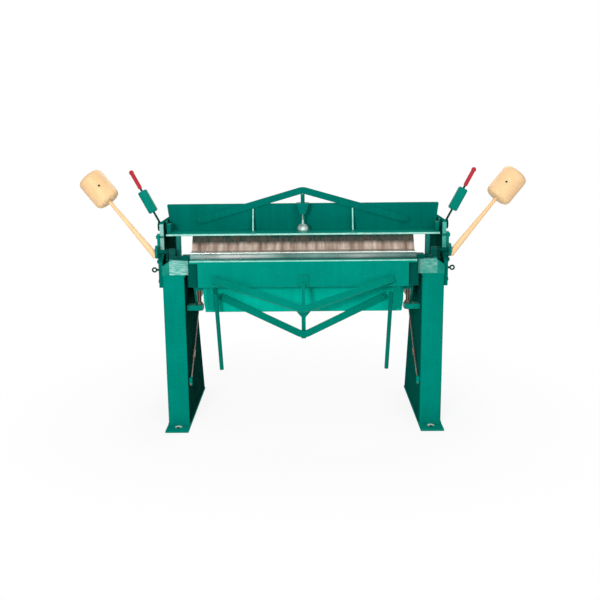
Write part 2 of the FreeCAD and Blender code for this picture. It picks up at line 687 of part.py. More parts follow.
def make_foot_plate(name, side):
    """Floor plate with an anchor hole at each end."""
    x = mirrored(side, leg_centre_x - s.foot_width / 2, leg_centre_x + s.foot_width / 2)
    blank = block(name + "_blank", x, (foot_front_y, -foot_front_y), (0, s.foot_thickness))
    holes = []
    for row, y in (("front", anchor_y), ("rear", -anchor_y)):
        label = "%s_%s_hole" % (name, row)
        size = (s.anchor_hole_radius, s.foot_thickness)
        holes.append(hole(label, "z", *size, side * leg_centre_x, y, 0))
    piece(name, cut(name + "_drilled", blank, holes))


def make_leg(name, side):
    """Channel leg with two long side plates, a cap and a lug for the tie rod."""
    rear_y = leg_front_y + s.leg_flange_depth
    inner_wall_x = leg_inner_x + s.leg_wall
    outer_wall_x = leg_outer_x - s.leg_wall
    front_wall_y = leg_front_y + s.leg_wall
    cap_z = s.leg_height - s.leg_cap_thickness
    outline = [
        (leg_inner_x, rear_y),
        (leg_inner_x, leg_front_y),
        (leg_outer_x, leg_front_y),
        (leg_outer_x, rear_y),
        (outer_wall_x, rear_y),
        (outer_wall_x, front_wall_y),
        (inner_wall_x, front_wall_y),
        (inner_wall_x, rear_y),
    ]
    outline = [(side * x, y) for x, y in outline]
    rounds = [(s.leg_bend_radius, (1, 2)), (s.leg_bend_radius - s.leg_wall, (5, 6))]
    height = cap_z - s.foot_thickness
    channel = plate(name + "_channel", "XY_Plane", outline, s.foot_thickness, height, rounds)
    side_outline = [
        (leg_front_y + s.leg_bend_radius, s.foot_thickness),
        (leg_front_y + s.leg_foot_depth, s.foot_thickness),
        (leg_front_y + s.leg_top_depth, cap_z),
        (leg_front_y + s.leg_bend_radius, cap_z),
    ]
    wall_x = mirrored(side, outer_wall_x, leg_outer_x)
    outer_plate = plate(name + "_outer", "YZ_Plane", side_outline, wall_x[0], s.leg_wall)
    inner_x = mirrored(side, leg_inner_x, inner_wall_x)
    inner_plate = plate(name + "_inner", "YZ_Plane", side_outline, inner_x[0], s.leg_wall)
    full_x = mirrored(side, leg_inner_x, leg_outer_x)
    cap = block(name + "_cap", full_x, (leg_front_y, rear_y), (cap_z, s.leg_height))
    lug_x = mirrored(side, leg_inner_x - s.tie_lug_width, leg_inner_x)
    lug_y = (leg_front_y + s.tie_lug_start, leg_front_y + s.tie_lug_start + s.tie_lug_depth)
    lug_z = (s.tie_low_height, s.tie_low_height + s.tie_lug_height)
    lug = block(name + "_lug", lug_x, lug_y, lug_z)
    welded = fuse(name + "_welded", [channel, outer_plate, inner_plate, cap, lug])
    start, direction, length = tie_line(side)
    tools = [slanted_bar(name + "_tie_hole", s.tie_rod_radius + s.bolt_clearance, length, start, direction)]
    radius = s.bolt_radius + s.bolt_clearance
    for number, (y, z) in enumerate(head_bolt_places):
        label = "%s_bolt_hole%d" % (name, number)
        tools.append(hole(label, "x", radius, s.leg_wall, wall_x[0], y, z))
    piece(name, cut(name + "_drilled", welded, tools))


def tie_line(side):
    """Start, direction and length of a tie rod, from below its lug to its eye."""
    low = Vector(side * tie_low[0].number, tie_low[1].number, tie_low[2].number)
    high = Vector(side * tie_high[0].number, tie_high[1].number, tie_high[2].number)
    direction = (high - low).normalize()
    start = low - direction * s.tie_tail.number
    return (start.x, start.y, start.z), direction, (high - start).Length


def make_hinge_block(name, side):
    """Cast block with the leaf's bearing on top and a guide bore for the top leaf's post."""
    outline = [
        (block_inner_x, s.leg_height),
        (leg_outer_x, s.leg_height),
        (leg_outer_x, block_top_z - s.block_shoulder_drop),
        (level_end_x, block_top_z),
        (block_inner_x, block_top_z),
    ]
    outline = [(side * x, z) for x, z in outline]
    casting = plate(name + "_casting", "XZ_Plane", outline, leg_front_y, s.block_depth)
    bearing_radius = s.hinge_pin_radius + s.bearing_wall
    bearing_start = level_end_x - s.bearing_offset
    bearing_x = mirrored(side, bearing_start, bearing_start + s.bearing_width)
    bearing_y = (hinge_y - bearing_radius, hinge_y + bearing_radius)
    stand = block(name + "_stand", bearing_x, bearing_y, (block_top_z - s.bearing_root, hinge_z))
    ring = bar(name + "_ring", "x", bearing_radius, s.bearing_width, bearing_x[0], hinge_y, hinge_z)
    solid = fuse(name + "_solid", [casting, stand, ring])
    pin_radius = s.hinge_pin_radius + s.running_clearance
    pin = hole(name + "_pin_bore", "x", pin_radius, s.bearing_width, bearing_x[0], hinge_y, hinge_z)
    post_low_z = s.leg_height + s.post_seat - s.post_room
    post_radius = s.post_radius + s.running_clearance
    post_depth = block_top_z - post_low_z + s.cut_overrun
    post = bar(name + "_post_bore", "z", post_radius, post_depth, side * post_x, post_y, post_low_z)
    lock_radius = s.lock_screw_radius + s.bolt_clearance
    lock_low_z = lock_screw_top_z - s.lock_screw_length
    screw = bar(name + "_lock_bore", "z", lock_radius, s.lock_screw_length, side * lock_x, lock_y, lock_low_z)
    piece(name, cut(name + "_bored", solid, [pin, post, screw]))


def make_head_plate(name, side):
    """Thick side plate with the crank shaft's bore and its bolt holes."""
    front_y = leg_front_y + s.head_toe
    upper_front_y = hinge_y + s.head_front_setback
    outline = [
        (front_y, head_low_z),
        (front_y, step_low_z),
        (upper_front_y - s.strap_forward, step_high_z - s.head_slope_rise),
        (upper_front_y, step_high_z),
        (upper_front_y, head_high_z),
        (s.head_rear, head_high_z),
        (s.head_rear, s.head_rear_rise),
        (s.head_rear_low, head_low_z),
    ]
    x = mirrored(side, leg_outer_x, head_outer_x)
    rounds = [(s.head_corner_radius, (4, 5))]
    solid = plate(name + "_blank", "YZ_Plane", outline, x[0], s.head_thickness, rounds)
    shaft_radius = s.crank_shaft_radius + s.running_clearance
    size = (s.head_thickness, x[0])
    tools = [hole(name + "_shaft_bore", "x", shaft_radius, *size, crank_y, crank_z)]
    bolt_radius = s.bolt_radius + s.bolt_clearance
    for number, (y, z) in enumerate(head_bolt_places):
        tools.append(hole("%s_bolt_hole%d" % (name, number), "x", bolt_radius, *size, y, z))
    for number, (y, z) in enumerate(strap_bolt_places):
        tools.append(hole("%s_strap_hole%d" % (name, number), "x", bolt_radius, *size, y, z))
    piece(name, cut(name + "_drilled", solid, tools))


def make_head_straps(name):
    """Narrow plates outside the head plates, with their bolt holes."""
    straps = []
    radius = s.bolt_radius + s.bolt_clearance
    for word, side in SIDES:
        label = word + "_strap"
        x = mirrored(side, head_outer_x, strap_outer_x)
        outline = [
            (strap_front_y, strap_low_z),
            (strap_front_y + s.strap_width, strap_low_z),
            (strap_front_y + s.strap_width, strap_high_z),
            (strap_front_y, strap_high_z),
        ]
        rounds = [(s.strap_round, (0, 1, 2, 3))]
        blank = plate(label + "_blank", "YZ_Plane", outline, x[0], s.strap_thickness, rounds)
        tools = []
        for number, (y, z) in enumerate(strap_bolt_places):
            tools.append(hole("%s_hole%d" % (label, number), "x", radius, s.strap_thickness, x[0], y, z))
        straps.append(cut(label, blank, tools))
    piece(name, group(name + "_group", straps))


def make_frame_bolts(name):
    """Bolts that hold the head plates, the straps and the bed truss."""
    bolts = []
    for word, side in SIDES:
        for number, (y, z) in enumerate(head_bolt_places):
            label = "%s_head_bolt%d" % (word, number)
            bolts.append(bolt(label, "x", side, s.bolt_length, side * head_outer_x, y, z))
        for number, (y, z) in enumerate(strap_bolt_places):
            label = "%s_strap_bolt%d" % (word, number)
            bolts.append(bolt(label, "x", side, s.short_bolt_length, side * strap_outer_x, y, z))
        place = (side * bed_truss_bolt_x, bed_truss_front_y, bed_truss_bolt_z)
        bolts.append(bolt(word + "_truss_bolt", "y", -1, s.truss_bolt_length, *place))
    piece(name, group(name + "_group", bolts))


def make_lifting_eyes(name):
    """Screwed eyes on the outer faces of the head plates."""
    eyes = []
    for word, side in SIDES:
        label = word + "_lifting_eye"
        reach = s.eye_shank_length + s.eye_ring_radius
        ring = doc.addObject("Part::Torus", label + "_ring")
        bind(ring, "Radius1", s.eye_ring_radius)
        bind(ring, "Radius2", s.eye_wire_radius)
        ring.Placement = FreeCAD.Placement(Vector(), TURNS["y"])
        put(ring, side * (head_outer_x + reach + s.eye_wire_radius), eye_y, eye_z)
        x = mirrored(side, head_outer_x, head_outer_x + s.eye_shank_length + s.eye_wire_radius)
        size = (s.eye_shank_radius, x[1] - x[0])
        shank = bar(label + "_shank", "x", *size, x[0], eye_y, eye_z)
        eyes.append(fuse(label, [ring, shank]))
    piece(name, group(name + "_group", eyes))


def make_lock_screws(name):
    """Threaded studs beside the bearings, each with a nut on the block's level top."""
    screws = []
    for word, side in SIDES:
        label = word + "_lock_screw"
        place = (side * lock_x, lock_y)
        low_z = lock_screw_top_z - s.lock_screw_length
        stud = bar(label + "_stud", "z", s.lock_screw_radius, s.lock_screw_length, *place, low_z)
        nut = hexagon(label + "_nut", "z", 2 * s.lock_screw_radius, s.bolt_head_height, *place, block_top_z)
        screws.append(fuse(label, [stud, nut]))
    piece(name, group(name + "_group", screws))


# Frame: bed, its truss and its supports


def truss_outline(half, middle, end):
    """Outline and corner rounds of a flat bar bent at its middle, with square-cut ends."""
    half_width = s.truss_bar_width / 2
    angle = arctangent((end - middle) / half)
    across = half_width * sine(angle)
    up = half_width * cosine(angle)
    high = middle + half_width / cosine(angle)
    low = middle - half_width / cosine(angle)
    outline = [
        (half - across, end + up),
        (half + across, end - up),
        (as_size(0), low),
        (-(half + across), end - up),
        (-(half - across), end + up),
        (as_size(0), high),
    ]
    wide, tight = s.truss_bend_radius + half_width, s.truss_bend_radius - half_width
    if angle.number > 0:
        return outline, [(wide, (2,)), (tight, (5,))]
    return outline, [(wide, (5,)), (tight, (2,))]


def make_bed_top_bar(name):
    """Long flat bar whose upper front edge is the bend line."""
    y = (hinge_y + s.bed_bar_gap, hinge_y + s.bed_bar_gap + s.bed_bar_depth)
    piece(name, block(name + "_bar", (-bed_half, bed_half), y, (bed_under_z, hinge_z)))


def make_bed_front_plate(name):
    """Deep plate under the bed bar, with bevelled lower corners."""
    low_z = bed_under_z - s.bed_plate_height
    lower_half = bed_plate_half - s.bed_bevel_run
    outline = [
        (-bed_plate_half, bed_under_z),
        (-bed_plate_half, low_z + s.bed_bevel_rise),
        (-lower_half, low_z),
        (lower_half, low_z),
        (bed_plate_half, low_z + s.bed_bevel_rise),
        (bed_plate_half, bed_under_z),
    ]
    solid = plate(name + "_blank", "XZ_Plane", outline, bed_plate_front_y, s.bed_plate_thickness)
    tools = []
    radius = s.bolt_radius + s.bolt_clearance
    for word, side in SIDES:
        place = (side * bed_truss_bolt_x, bed_plate_front_y, bed_truss_bolt_z)
        tools.append(hole("%s_%s_hole" % (name, word), "y", radius, s.bed_plate_thickness, *place))
    piece(name, cut(name + "_drilled", solid, tools))


def make_bed_end(name, side):
    """End plate of the bed, with the pad that meets the leg and the levelling shelf."""
    front_y = bed_plate_back_y
    outline = [
        (front_y, bed_under_z),
        (front_y, bed_end_low_z + s.bed_end_cut_rise),
        (front_y + s.bed_end_cut_run, bed_end_low_z),
        (s.bed_end_tail, bed_end_low_z),
        (s.bed_end_tail, bed_end_low_z + s.bed_end_tail_height),
        (hinge_y + s.bed_bar_gap + s.bed_bar_depth, bed_under_z),
    ]
    inner_x = bed_end_outer_x - s.bed_end_thickness
    x = mirrored(side, inner_x, bed_end_outer_x)
    sheet_plate = plate(name + "_plate", "YZ_Plane", outline, x[0], s.bed_end_thickness)
    pad_x = mirrored(side, bed_end_outer_x, leg_inner_x)
    pad_y = (hinge_y + s.bed_pad_setback, hinge_y + s.bed_pad_setback + s.bed_pad_depth)
    pad_top_z = s.leg_height - s.bed_pad_drop
    pad = block(name + "_pad", pad_x, pad_y, (pad_top_z - s.bed_pad_height, pad_top_z))
    shelf_x = mirrored(side, bed_plate_half, inner_x)
    shelf_z = (shelf_low_z, shelf_low_z + s.shelf_thickness)
    shelf = block(name + "_shelf", shelf_x, (front_y, front_y + s.shelf_depth), shelf_z)
    piece(name, fuse(name + "_welded", [sheet_plate, pad, shelf]))


def make_bed_truss(bar_name, strut_name):
    """Bent flat bar under the bed, and the flared strut behind its middle."""
    outline, rounds = truss_outline(s.bed_truss_half, bed_truss_middle_z, bed_truss_end_z)
    solid = plate(bar_name + "_blank", "XZ_Plane", outline, bed_truss_front_y, s.truss_bar_thickness, rounds)
    tools = []
    radius = s.bolt_radius + s.bolt_clearance
    for word, side in SIDES:
        place = (side * bed_truss_bolt_x, bed_truss_front_y, bed_truss_bolt_z)
        tools.append(hole("%s_%s_hole" % (bar_name, word), "y", radius, s.truss_bar_thickness, *place))
    piece(bar_name, cut(bar_name + "_drilled", solid, tools))
    top_z = bed_under_z - s.bed_plate_height
    bottom_z = bed_truss_middle_z - s.truss_bar_width / 2
    outline = flared_outline(bottom_z, top_z, s.strut_width / 2, s.strut_flare_half)
    piece(strut_name, plate(strut_name + "_plate", "XZ_Plane", outline, bed_plate_front_y, s.strut_thickness))


def flared_outline(bottom_z, top_z, half, flared_half):
    """Upright strut that widens at its upper end."""
    return [
        (-half, bottom_z),
        (half, bottom_z),
        (half, top_z - s.strut_flare_height),
        (flared_half, top_z),
        (-flared_half, top_z),
        (-half, top_z - s.strut_flare_height),
    ]


def make_support_lugs(name):
    """Lugs on the legs, drilled for the levelling screws."""
    lugs = []
    for word, side in SIDES:
        label = word + "_support_lug"
        x = mirrored(side, lug_inner_x, leg_inner_x)
        z = (lug_low_z, lug_low_z + s.lug_thickness)
        y = (leveling_y - s.lug_depth + s.leveling_edge, leveling_y + s.leveling_edge)
        blank = block(label + "_blank", x, y, z)
        radius = s.leveling_radius + s.bolt_clearance
        bore = hole(label + "_hole", "z", radius, s.lug_thickness, side * leveling_x, leveling_y, lug_low_z)
        lugs.append(cut(label, blank, [bore]))
    piece(name, group(name + "_group", lugs))


def make_leveling_screws(name):
    """Screws between lugs and shelves, each with a lock nut."""
    screws = []
    for word, side in SIDES:
        label = word + "_leveling_screw"
        place = (side * leveling_x, leveling_y)
        low_z = lug_low_z - s.leveling_tail
        shank = bar(label + "_shank", "z", s.leveling_radius, shelf_low_z - low_z, *place, low_z)
        nut_size = (s.leveling_nut_radius, s.leveling_nut_height)
        nut = hexagon(label + "_nut", "z", *nut_size, *place, lug_low_z + s.lug_thickness)
        screws.append(fuse(label, [shank, nut]))
    piece(name, group(name + "_group", screws))


def make_tie_rods(rod_name, buckle_name):
    """Diagonal rods from the leg lugs to eyes on the bed ends, with turnbuckles."""
    rods, buckles = [], []
    for word, side in SIDES:
        label = word + "_tie_rod"
        start, direction, length = tie_line(side)
        rod = slanted_bar(label + "_rod", s.tie_rod_radius, length, start, direction)
        eye_x = mirrored(side, bed_end_outer_x, bed_end_outer_x + s.tie_eye_width)
        size = (s.tie_eye_radius, s.tie_eye_width)
        eye = bar(label + "_eye", "x", *size, eye_x[0], s.tie_back, tie_high_z)
        rods.append(fuse(label, [rod, eye]))
        label = word + "_turnbuckle"
        foot = along(start, direction, s.turnbuckle_start)
        body = slanted_bar(label + "_body", s.turnbuckle_radius, s.turnbuckle_length, foot, direction)
        radius = s.tie_rod_radius + s.bolt_clearance
        bore = slanted_bar(label + "_bore", radius, length, start, direction)
        buckles.append(cut(label, body, [bore]))
    piece(rod_name, group(rod_name + "_group", rods))
    piece(buckle_name, group(buckle_name + "_group", buckles))


# Bending leaf


def make_apron(name):
    """Apron face with the ledge that carries the nose bar."""
    half = nose_half - s.apron_inset
    face_y = (apron_front_y, apron_back_y)
    face = block(name + "_face", (-half, half), face_y, (apron_low_z, ledge_top_z - s.apron_thickness))
    ledge_outline = [
        (apron_front_y, ledge_top_z - s.apron_thickness),
        (apron_front_y, ledge_top_z),
        (hinge_y - s.ledge_back_gap, ledge_top_z),
        (hinge_y - s.ledge_back_gap, ledge_top_z - s.apron_thickness),
    ]
    rounds = [(s.ledge_radius, (1,))]
    ledge = plate(name + "_ledge", "YZ_Plane", ledge_outline, -nose_half, 2 * nose_half, rounds)
    piece(name, fuse(name + "_welded", [face, ledge]))


def make_nose_bar(name):
    """Steel bar whose upper rear edge turns about the bend line."""
    front_y = hinge_y - s.nose_bar_gap - s.nose_bar_depth
    back_y = hinge_y - s.nose_bar_gap
    top_z = hinge_z - s.nose_bar_drop
    chamfer = s.nose_bar_chamfer
    outline = [
        (front_y, ledge_top_z),
        (back_y, ledge_top_z),
        (back_y, top_z),
        (front_y + chamfer, top_z),
        (front_y, top_z - chamfer),
    ]
    piece(name, plate(name + "_bar", "YZ_Plane", outline, -nose_half, 2 * nose_half))


def make_leaf_end(name, side):
    """End plate of the leaf, with the arm, its thin tongue and the knuckle on the hinge pin."""
    front_y = apron_front_y + s.leaf_end_recess
    step_y = hinge_y - s.nose_bar_gap - s.nose_bar_depth
    back_y = hinge_y + s.arm_tail
    low_z = apron_low_z + s.leaf_end_bottom
    arm_low_z = block_top_z + s.arm_lift
    arm_top_z = arm_low_z + s.arm_thickness
    lower_back_y = hinge_y - s.leaf_end_back_gap
    outline = [
        (front_y, low_z),
        (front_y, ledge_top_z),
        (step_y, ledge_top_z),
        (step_y, arm_top_z),
        (back_y, arm_top_z),
        (back_y, arm_low_z),
        (lower_back_y, arm_low_z),
        (lower_back_y, low_z),
    ]
    plate_x = mirrored(side, nose_half, leaf_end_x)
    end = plate(name + "_plate", "YZ_Plane", outline, plate_x[0], s.leaf_end_thickness)
    arm_end_x = leaf_end_x + s.arm_length
    arm_x = mirrored(side, leaf_end_x, arm_end_x)
    arm = block(name + "_arm", arm_x, (step_y, back_y), (arm_low_z, arm_top_z))
    cheek_x = mirrored(side, knuckle_inner_x, knuckle_outer_x)
    cheek_y = (hinge_y - s.knuckle_radius, back_y)
    tongue_x = mirrored(side, arm_end_x, knuckle_inner_x)
    tongue = block(name + "_tongue", tongue_x, cheek_y, (arm_low_z, arm_low_z + s.tongue_thickness))
    cheek = block(name + "_cheek", cheek_x, cheek_y, (arm_low_z, hinge_z))
    size = (s.knuckle_radius, s.knuckle_thickness)
    knuckle = bar(name + "_knuckle", "x", *size, cheek_x[0], hinge_y, hinge_z)
    face_x = mirrored(side, nose_half - s.apron_inset, nose_half)
    face_z = (low_z, ledge_top_z - s.apron_thickness)
    face = block(name + "_recessed_face", face_x, (front_y, front_y + s.truss_bar_thickness), face_z)
    solid = fuse(name + "_welded", [end, arm, tongue, cheek, knuckle, face])
    bore = hole(name + "_bore", "x", s.hinge_pin_radius, s.knuckle_thickness, cheek_x[0], hinge_y, hinge_z)
    piece(name, cut(name + "_bored", solid, [bore]))


def make_hinge_pins(name):
    """Pins from the knuckles, through the bearings, to the counterweight arm hubs."""
    pins = []
    start_x = knuckle_inner_x
    length = head_outer_x + s.hub_gap + s.hub_width - start_x
    for word, side in SIDES:
        x = mirrored(side, start_x, start_x + length)
        pins.append(bar(word + "_hinge_pin", "x", s.hinge_pin_radius, length, x[0], hinge_y, hinge_z))
    piece(name, group(name + "_group", pins))


def make_arm_hubs(name):
    """Discs on the outer ends of the hinge pins."""
    hubs = []
    start_x = head_outer_x + s.hub_gap
    for word, side in SIDES:
        x = mirrored(side, start_x, start_x + s.hub_width)
        label = word + "_arm_hub"
        disc = bar(label + "_disc", "x", s.hub_radius, s.hub_width, x[0], hinge_y, hinge_z)
        bore = hole(label + "_bore", "x", s.hinge_pin_radius, s.hub_width, x[0], hinge_y, hinge_z)
        hubs.append(cut(label, disc, [bore]))
    piece(name, group(name + "_group", hubs))


def make_leaf_truss(bar_name, strut_name):
    """Bent flat bar that leans forward from the apron, and the strut behind its middle."""
    half_width = s.truss_bar_width / 2
    tilt = s.leaf_truss_tilt
    turn = FreeCAD.Rotation(Vector(1, 0, 0), -tilt.number)
    line_y = apron_front_y - s.leaf_truss_gap - half_width * sine(tilt)
    line_z = ledge_top_z - s.leaf_truss_end_drop
    outline, rounds = truss_outline(s.leaf_truss_half, -s.leaf_truss_drop, as_size(0))
    flat = plate(bar_name + "_blank", "XZ_Plane", outline, 0, s.truss_bar_thickness, rounds)
    flat.setExpression("Placement.Base.y", None)
    flat.Placement = FreeCAD.Placement(Vector(), turn)
    put(flat, 0, line_y, line_z)
    solids = [flat]
    lug_outline = [
        (apron_front_y, line_z + s.leaf_lug_rise * cosine(tilt)),
        (line_y + s.leaf_lug_rise * sine(tilt), line_z + s.leaf_lug_rise * cosine(tilt)),
        (line_y - half_width * sine(tilt), line_z - half_width * cosine(tilt)),
        (apron_front_y, line_z - half_width * cosine(tilt)),
    ]
    for word, side in SIDES:
        x = mirrored(side, s.leaf_truss_half - s.leaf_lug_width, s.leaf_truss_half)
        solids.append(plate("%s_%s_lug" % (bar_name, word), "YZ_Plane", lug_outline, x[0], s.leaf_lug_width))
    piece(bar_name, fuse(bar_name + "_welded", solids))
    pad_y = (apron_front_y - s.pad_thickness, apron_front_y)
    pad_z = (apron_low_z + s.pad_edge, apron_low_z + s.pad_edge + s.pad_height)
    pad = block(strut_name + "_pad", (-s.pad_width / 2, s.pad_width / 2), pad_y, pad_z)
    stick = doc.addObject("Part::Box", strut_name + "_bar")
    bind(stick, "Length", s.leaf_strut_width)
    bind(stick, "Width", s.leaf_strut_width)
    bind(stick, "Height", s.leaf_truss_drop - s.leaf_strut_start)
    stick.Placement = FreeCAD.Placement(Vector(), turn)
    low_y = line_y - s.leaf_truss_drop * sine(tilt)
    put(stick, -s.leaf_strut_width / 2, low_y, line_z - s.leaf_truss_drop * cosine(tilt))
    piece(strut_name, fuse(strut_name + "_welded", [pad, stick]))


def make_handles(bracket_name, handle_name):
    """Flat brackets behind the apron, and the round handles welded to their inner edges."""
    brackets, handles = [], []
    for word, side in SIDES:
        x = mirrored(side, s.bracket_spread, s.bracket_spread + s.bracket_bar_width)
        top_z = apron_low_z + s.bracket_bar_lap
        outline = [
            (x[0], top_z - s.bracket_bar_length),
            (x[1], top_z - s.bracket_bar_length),
            (x[1], top_z),
            (x[0], top_z),
        ]
        label = word + "_handle_bracket"
        rounds = [(s.bracket_round, (0, 1))]
        size = (apron_back_y, s.bracket_bar_thickness)
        brackets.append(plate(label, "XZ_Plane", outline, *size, rounds))
        label = word + "_lifting_handle"
        middle_y = apron_back_y + s.bracket_bar_thickness / 2
        direction = lean(s.handle_in_angle, -s.handle_back_angle, side)
        top = (side * (s.bracket_spread - s.handle_radius), middle_y, handle_top_z)
        low = along(top, direction, -s.handle_length)
        tube = slanted_bar(label + "_bar", s.handle_radius, s.handle_length, low, direction)
        tab_x = mirrored(side, s.bracket_spread - s.handle_radius, s.bracket_spread)
        tab_y = (middle_y - s.handle_tab_thickness / 2, middle_y + s.handle_tab_thickness / 2)
        tab_z = (handle_top_z - s.handle_tab_height, handle_top_z)
        handles.append(fuse(label, [tube, block(label + "_tab", tab_x, tab_y, tab_z)]))
    piece(bracket_name, group(bracket_name + "_group", brackets))
    piece(handle_name, group(handle_name + "_group", handles))


def weight_arm_line(side):
    """Start and direction of a counterweight arm."""
    hub_face_x = head_outer_x + s.hub_gap + s.hub_width
    start = (
        side * (hub_face_x - s.weight_arm_sink),
        hinge_y - s.weight_arm_forward,
        hinge_z - s.weight_arm_drop,
    )
    return start, lean(s.weight_out_angle, -s.weight_back_angle, side)


def make_counterweight_arms(name):
    """Tapered arms from the hubs, each ending in the plain rod that carries its weight."""
    arms = []
    face_x = head_outer_x + s.hub_gap + s.hub_width
    for word, side in SIDES:
        label = word + "_weight_arm"
        start, direction = weight_arm_line(side)
        taper = doc.addObject("Part::Cone", label + "_taper")
        bind(taper, "Radius1", s.weight_arm_radius)
        bind(taper, "Radius2", s.weight_spigot_radius)
        bind(taper, "Height", s.weight_arm_taper)
        taper.Placement = slant(start, direction)
        root = along(start, direction, s.weight_arm_taper)
        spigot = slanted_bar(label + "_rod", s.weight_spigot_radius, s.weight_spigot_length, root, direction)
        solid = fuse(label + "_solid", [taper, spigot])
        trim_x = mirrored(side, face_x - s.hub_radius, face_x)
        trim_y = (hinge_y - 2 * s.hub_radius, hinge_y + 2 * s.hub_radius)
        trim_z = (hinge_z - 2 * s.hub_radius, hinge_z + 2 * s.hub_radius)
        arms.append(cut(label, solid, [block(label + "_trim", trim_x, trim_y, trim_z)]))
    piece(name, group(name + "_group", arms))


def make_counterweight(name, screw_name, side):
    """Rounded drum with a bore along its arm and a set screw in front, turned a little upwards."""
    start, direction = weight_arm_line(side)
    place = slant(along(start, direction, s.weight_start), direction)
    length, radius = s.weight_length.number, s.weight_radius.number
    bore_radius = s.weight_spigot_radius.number + s.running_clearance.number
    drum = Part.makeCylinder(radius, length)
    rims = [edge for edge in drum.Edges if isinstance(edge.Curve, Part.Circle)]
    drum = drum.makeFillet(s.weight_round.number, rims)
    overrun = s.cut_overrun.number
    drum = drum.cut(Part.makeCylinder(bore_radius, length + 2 * overrun, Vector(0, 0, -overrun)))
    turn = math.radians(s.weight_screw_angle.number)
    middle, front = Vector(0, 0, length / 2), Vector(-side * math.sin(turn), -math.cos(turn), 0)
    screw_radius = s.weight_screw_radius.number
    clearance = s.running_clearance.number
    drum = drum.cut(Part.makeCylinder(screw_radius + clearance, radius + overrun, middle, front))
    weight = doc.addObject("Part::Feature", name + "_drum")
    weight.Shape = drum
    weight.Placement = place
    piece(name, weight)
    tip = bore_radius + s.weight_screw_gap.number
    reach = radius - s.weight_screw_sink.number - tip
    screw = doc.addObject("Part::Feature", screw_name + "_screw")
    screw.Shape = Part.makeCylinder(screw_radius, reach, middle + front * tip, front)
    screw.Placement = place
    piece(screw_name, screw)


# Top leaf


def make_top_leaf_plate(name):
    """Level plate above the fingers, with a rounded front edge."""
    outline = [
        (plate_front_y, plate_low_z),
        (plate_front_y, plate_top_z),
        (plate_front_y + s.leaf_plate_depth, plate_top_z),
        (plate_front_y + s.leaf_plate_depth, plate_low_z),
    ]
    rounds = [(s.leaf_plate_round, (0, 1))]
    piece(name, plate(name + "_plate", "YZ_Plane", outline, -plate_half, 2 * plate_half, rounds))


def make_top_leaf_web(name):
    """Upright plate on the level one, wider at its upper edge."""
    top_z = plate_top_z + s.web_height
    upper_half = plate_half + s.web_flare
    outline = [
        (-plate_half, plate_top_z),
        (plate_half, plate_top_z),
        (upper_half, top_z),
        (-upper_half, top_z),
    ]
    rounds = [(s.web_corner_radius, (2, 3))]
    solid = plate(name + "_blank", "XZ_Plane", outline, web_front_y, s.web_thickness, rounds)
    piece(name, cut(name + "_drilled", solid, top_truss_holes(name, web_front_y, s.web_thickness)))


def top_truss_holes(name, y, thickness):
    """Bolt holes through one of the plates at the ends of the top truss."""
    holes = []
    radius = s.bolt_radius + s.bolt_clearance
    for word, side in SIDES:
        label = "%s_%s_hole" % (name, word)
        holes.append(hole(label, "y", radius, thickness, side * top_truss_bolt_x, y, top_truss_bolt_z))
    return holes


def make_ribs(name):
    """Sloped ribs in front of the web."""
    top_z = plate_top_z + s.rib_height
    outline = [
        (web_front_y, plate_top_z),
        (web_front_y - s.rib_foot_depth, plate_top_z),
        (web_front_y - s.rib_top_depth, top_z),
        (web_front_y, top_z),
    ]
    ribs = []
    for word, side in SIDES:
        start_x = side * s.rib_spread - s.rib_thickness / 2
        ribs.append(plate(word + "_rib", "YZ_Plane", outline, start_x, s.rib_thickness))
    piece(name, group(name + "_group", ribs))


def make_lift_casting(name, side):
    """Upright plate with the slot that the crank pin lifts."""
    x = mirrored(side, plate_half - s.lift_casting_thickness, plate_half)
    front_y = plate_front_y + s.lift_casting_setback
    outline = [
        (front_y, plate_top_z),
        (front_y, plate_top_z + s.lift_casting_height),
        (front_y + s.lift_casting_depth, plate_top_z + s.lift_casting_height),
        (front_y + s.lift_casting_depth, plate_top_z),
    ]
    rounds = [(s.lift_casting_round, (1, 2))]
    solid = plate(name + "_blank", "YZ_Plane", outline, x[0], s.lift_casting_thickness, rounds)
    half_height = s.crank_pin_radius + s.crank_slot_gap
    slot_x = (x[0] - s.cut_overrun, x[1] + s.cut_overrun)
    slot_z = (crank_pin_z - half_height, crank_pin_z + half_height)
    slot = block(name + "_slot", slot_x, (slot_front_y, slot_back_y), slot_z)
    piece(name, cut(name + "_slotted", solid, [slot]))


